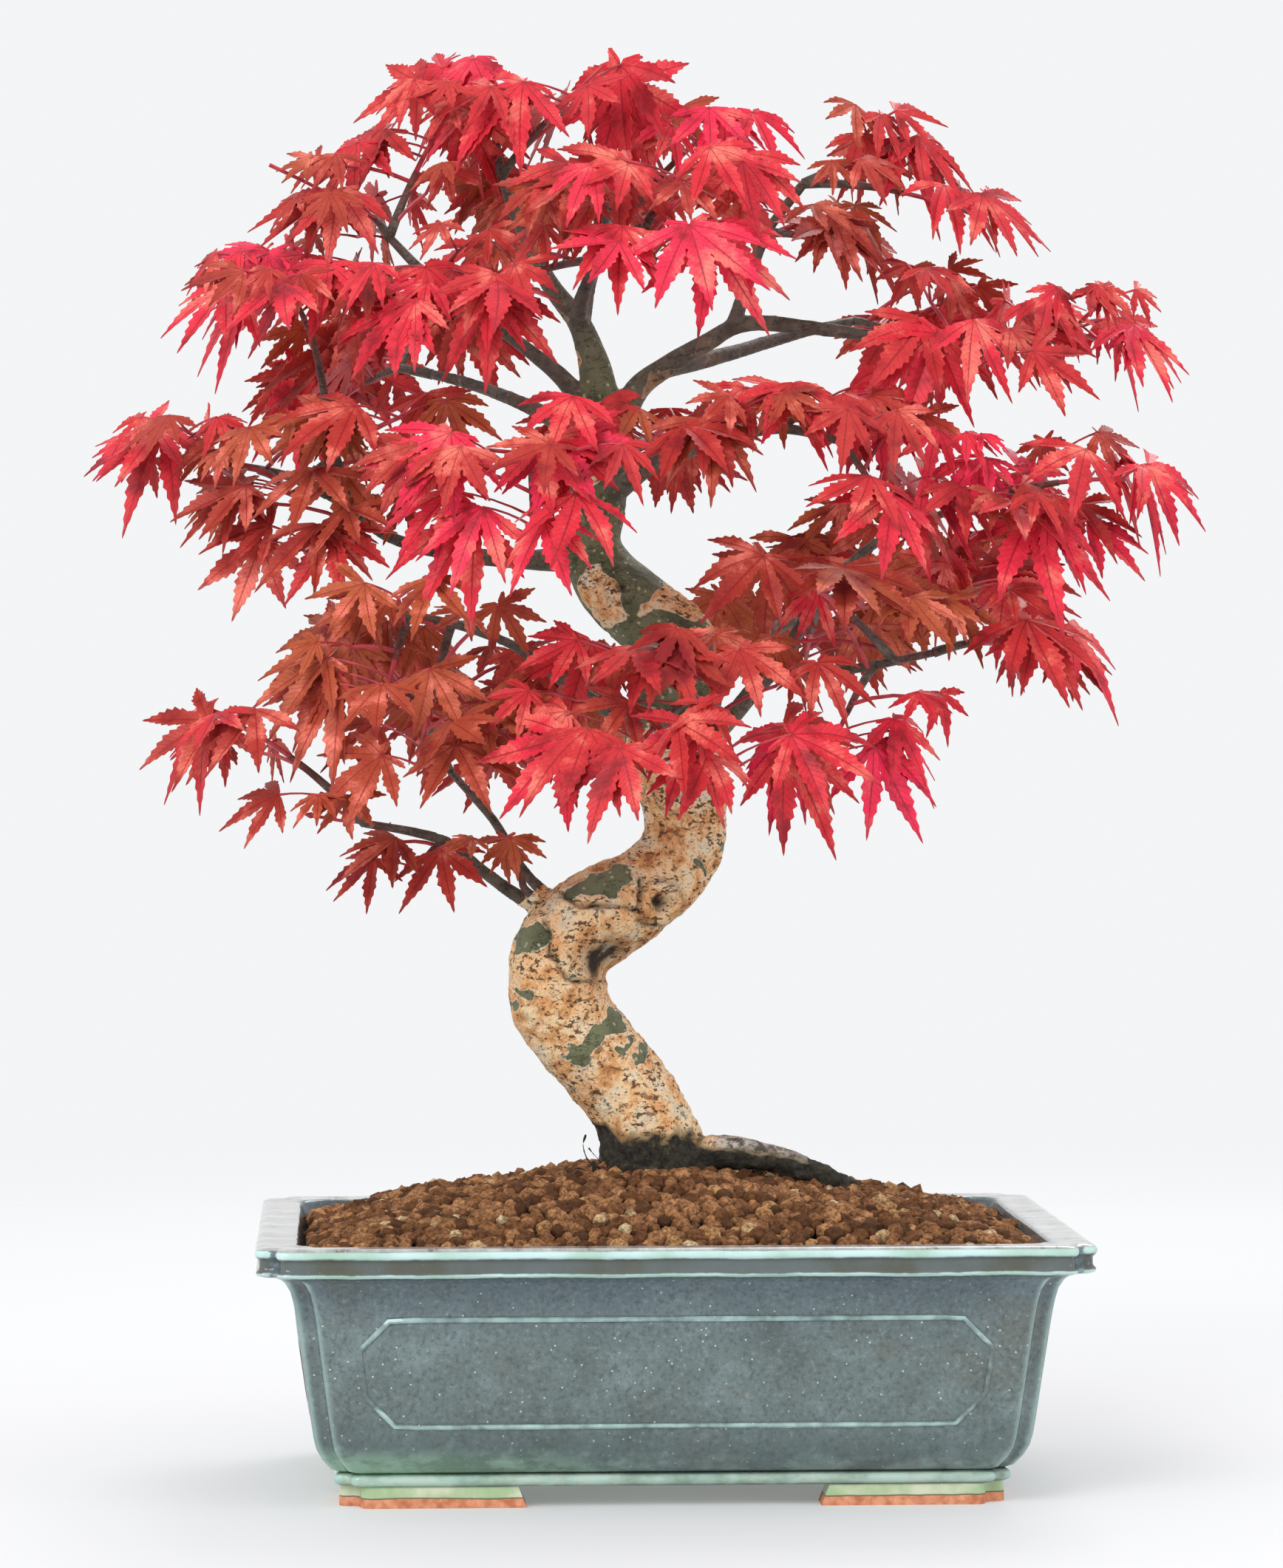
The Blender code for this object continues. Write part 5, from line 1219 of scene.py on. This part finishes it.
def grow_shoot(shoot):
    """A shoot's stem, stalks and blades as one object."""
    name = f"leafy_shoot_{shoot.number:02d}"
    path = shoot.path()
    runs = [[(at, STEM_RADIUS * (1.1 - 0.05 * step)) for step, at in enumerate(path[WOODY_STEPS:])]]
    blades = bpy.data.meshes.new(name)
    surface = bmesh.new()
    for mark in ("along", "across", "age"):
        surface.verts.layers.float.new(mark)
    for number, (root, stalk, size, older) in enumerate(leaf_spots(shoot, path, runs)):
        joint = root + stalk
        age = min(max(shoot.age + older + chance.uniform(-0.14, 0.14), 0), 1)
        hung = leaf_frame(joint, stalk, shoot.outward, chance.uniform(-28, 28) if number else 0,
                          chance.uniform(-0.35, 0.45))
        add_leaf(surface, hung, shoot.span * size, age, chance.uniform(0.05, 0.50) * (1.1 - 0.5 * age),
                 chance.uniform(0.12, 0.50), chance.uniform(0.02, 0.16) + 0.30 * (1 - age) * chance.random())
        runs.append(bowed(root, joint, 0.10, [STALK_RADIUS * share for share in STALK_SHARES]))
    if shoot.number in BARE_STALKS:
        runs.append(bowed(path[WOODY_STEPS], planted(*BARE_STALKS[shoot.number]), 0.02, BARE_RADII))
    for places in BUDDED.get(shoot.number, ()):
        start, middle, end = (planted(*place) for place in places)
        neck = middle.lerp(end, 0.7)
        bud = neck.lerp(end, 0.4)
        runs.append([(start, 0.0007), (middle, 0.0006), (neck, 0.0006), (bud, 0.0012), (end, 0.0003)])
    surface.to_mesh(blades)
    surface.free()
    made = bpy.data.objects.new(name, blades)
    bpy.context.scene.collection.objects.link(made)
    apply_modifier(made, "SOLIDIFY", thickness=BLADE_THICKNESS, offset=0)
    stalks = draw_wood("stalks", runs, 6)
    for piece, finish in ((made, leaf_red), (stalks, stalk_red)):
        piece.data.materials.clear()
        piece.data.materials.append(finish)
    pick(made, stalks)
    bpy.ops.object.join()
    bpy.ops.object.shade_smooth_by_angle(angle=math.radians(28))
    node = f"shoot_{shoot.number:02d}"
    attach(made, "root")
    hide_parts(node)


leaf_red, tree, shader, place = new_finish("maple_leaf", 0.45)
shader.inputs["Specular IOR Level"].default_value = 0.22
age, along, across = painted(tree, "age"), painted(tree, "along"), painted(tree, "across")
fresh = ramp(tree, age, [
    (0.0, (0.90, 0.030, 0.095)), (0.25, (0.76, 0.028, 0.055)), (0.50, (0.56, 0.034, 0.034)),
    (0.75, (0.40, 0.044, 0.026)), (1.0, (0.44, 0.095, 0.035))], False)
mottle = grain(tree, place, 60, 6, 0.65)
fresh = tinted(tree, ramp(tree, mottle, [(0.50, 0.0), (0.68, 0.70)]), fresh, (1.0, 0.26, 0.19))
fresh = tinted(tree, ramp(tree, mottle, [(0.30, 0.85), (0.50, 0.0)]), fresh, (0.20, 0.006, 0.012))
side_veins = sums(tree, "SINE", times(tree, sums(tree, "SUBTRACT", along, times(tree, across, 0.10)), 95.0))
veining = ramp(tree, side_veins, [(0.80, 0.0), (0.99, 0.4)])
fresh = tinted(tree, veining, fresh, (0.30, 0.014, 0.020))
midrib = ramp(tree, across, [(0.04, 0.75), (0.13, 0.0)])
fresh = tinted(tree, midrib, fresh, (0.28, 0.012, 0.020))
tips = ramp(tree, along, [(0.72, 0.0), (1.0, 0.55)])
tips = times(tree, tips, ramp(tree, mottle, [(0.3, 0.3), (0.6, 1.0)]))
fresh = tinted(tree, tips, fresh, (0.16, 0.012, 0.018))
feed(tree, fresh, shader, "Base Color")
relief(tree, shader, plus(tree, grain(tree, place, 420, 4), times(tree, veining, -1.0)), 0.35, 0.0005)
stalk_red, tree, shader, place = new_finish("stalk_red", 0.38)
stem_red = ramp(tree, grain(tree, place, 180), [(0.3, (0.28, 0.020, 0.030)), (0.7, (0.58, 0.050, 0.070))])
feed(tree, stem_red, shader, "Base Color")
relief(tree, shader, grain(tree, place, 700), 0.2, 0.0002)

for shoot in shoots:
    grow_shoot(shoot)
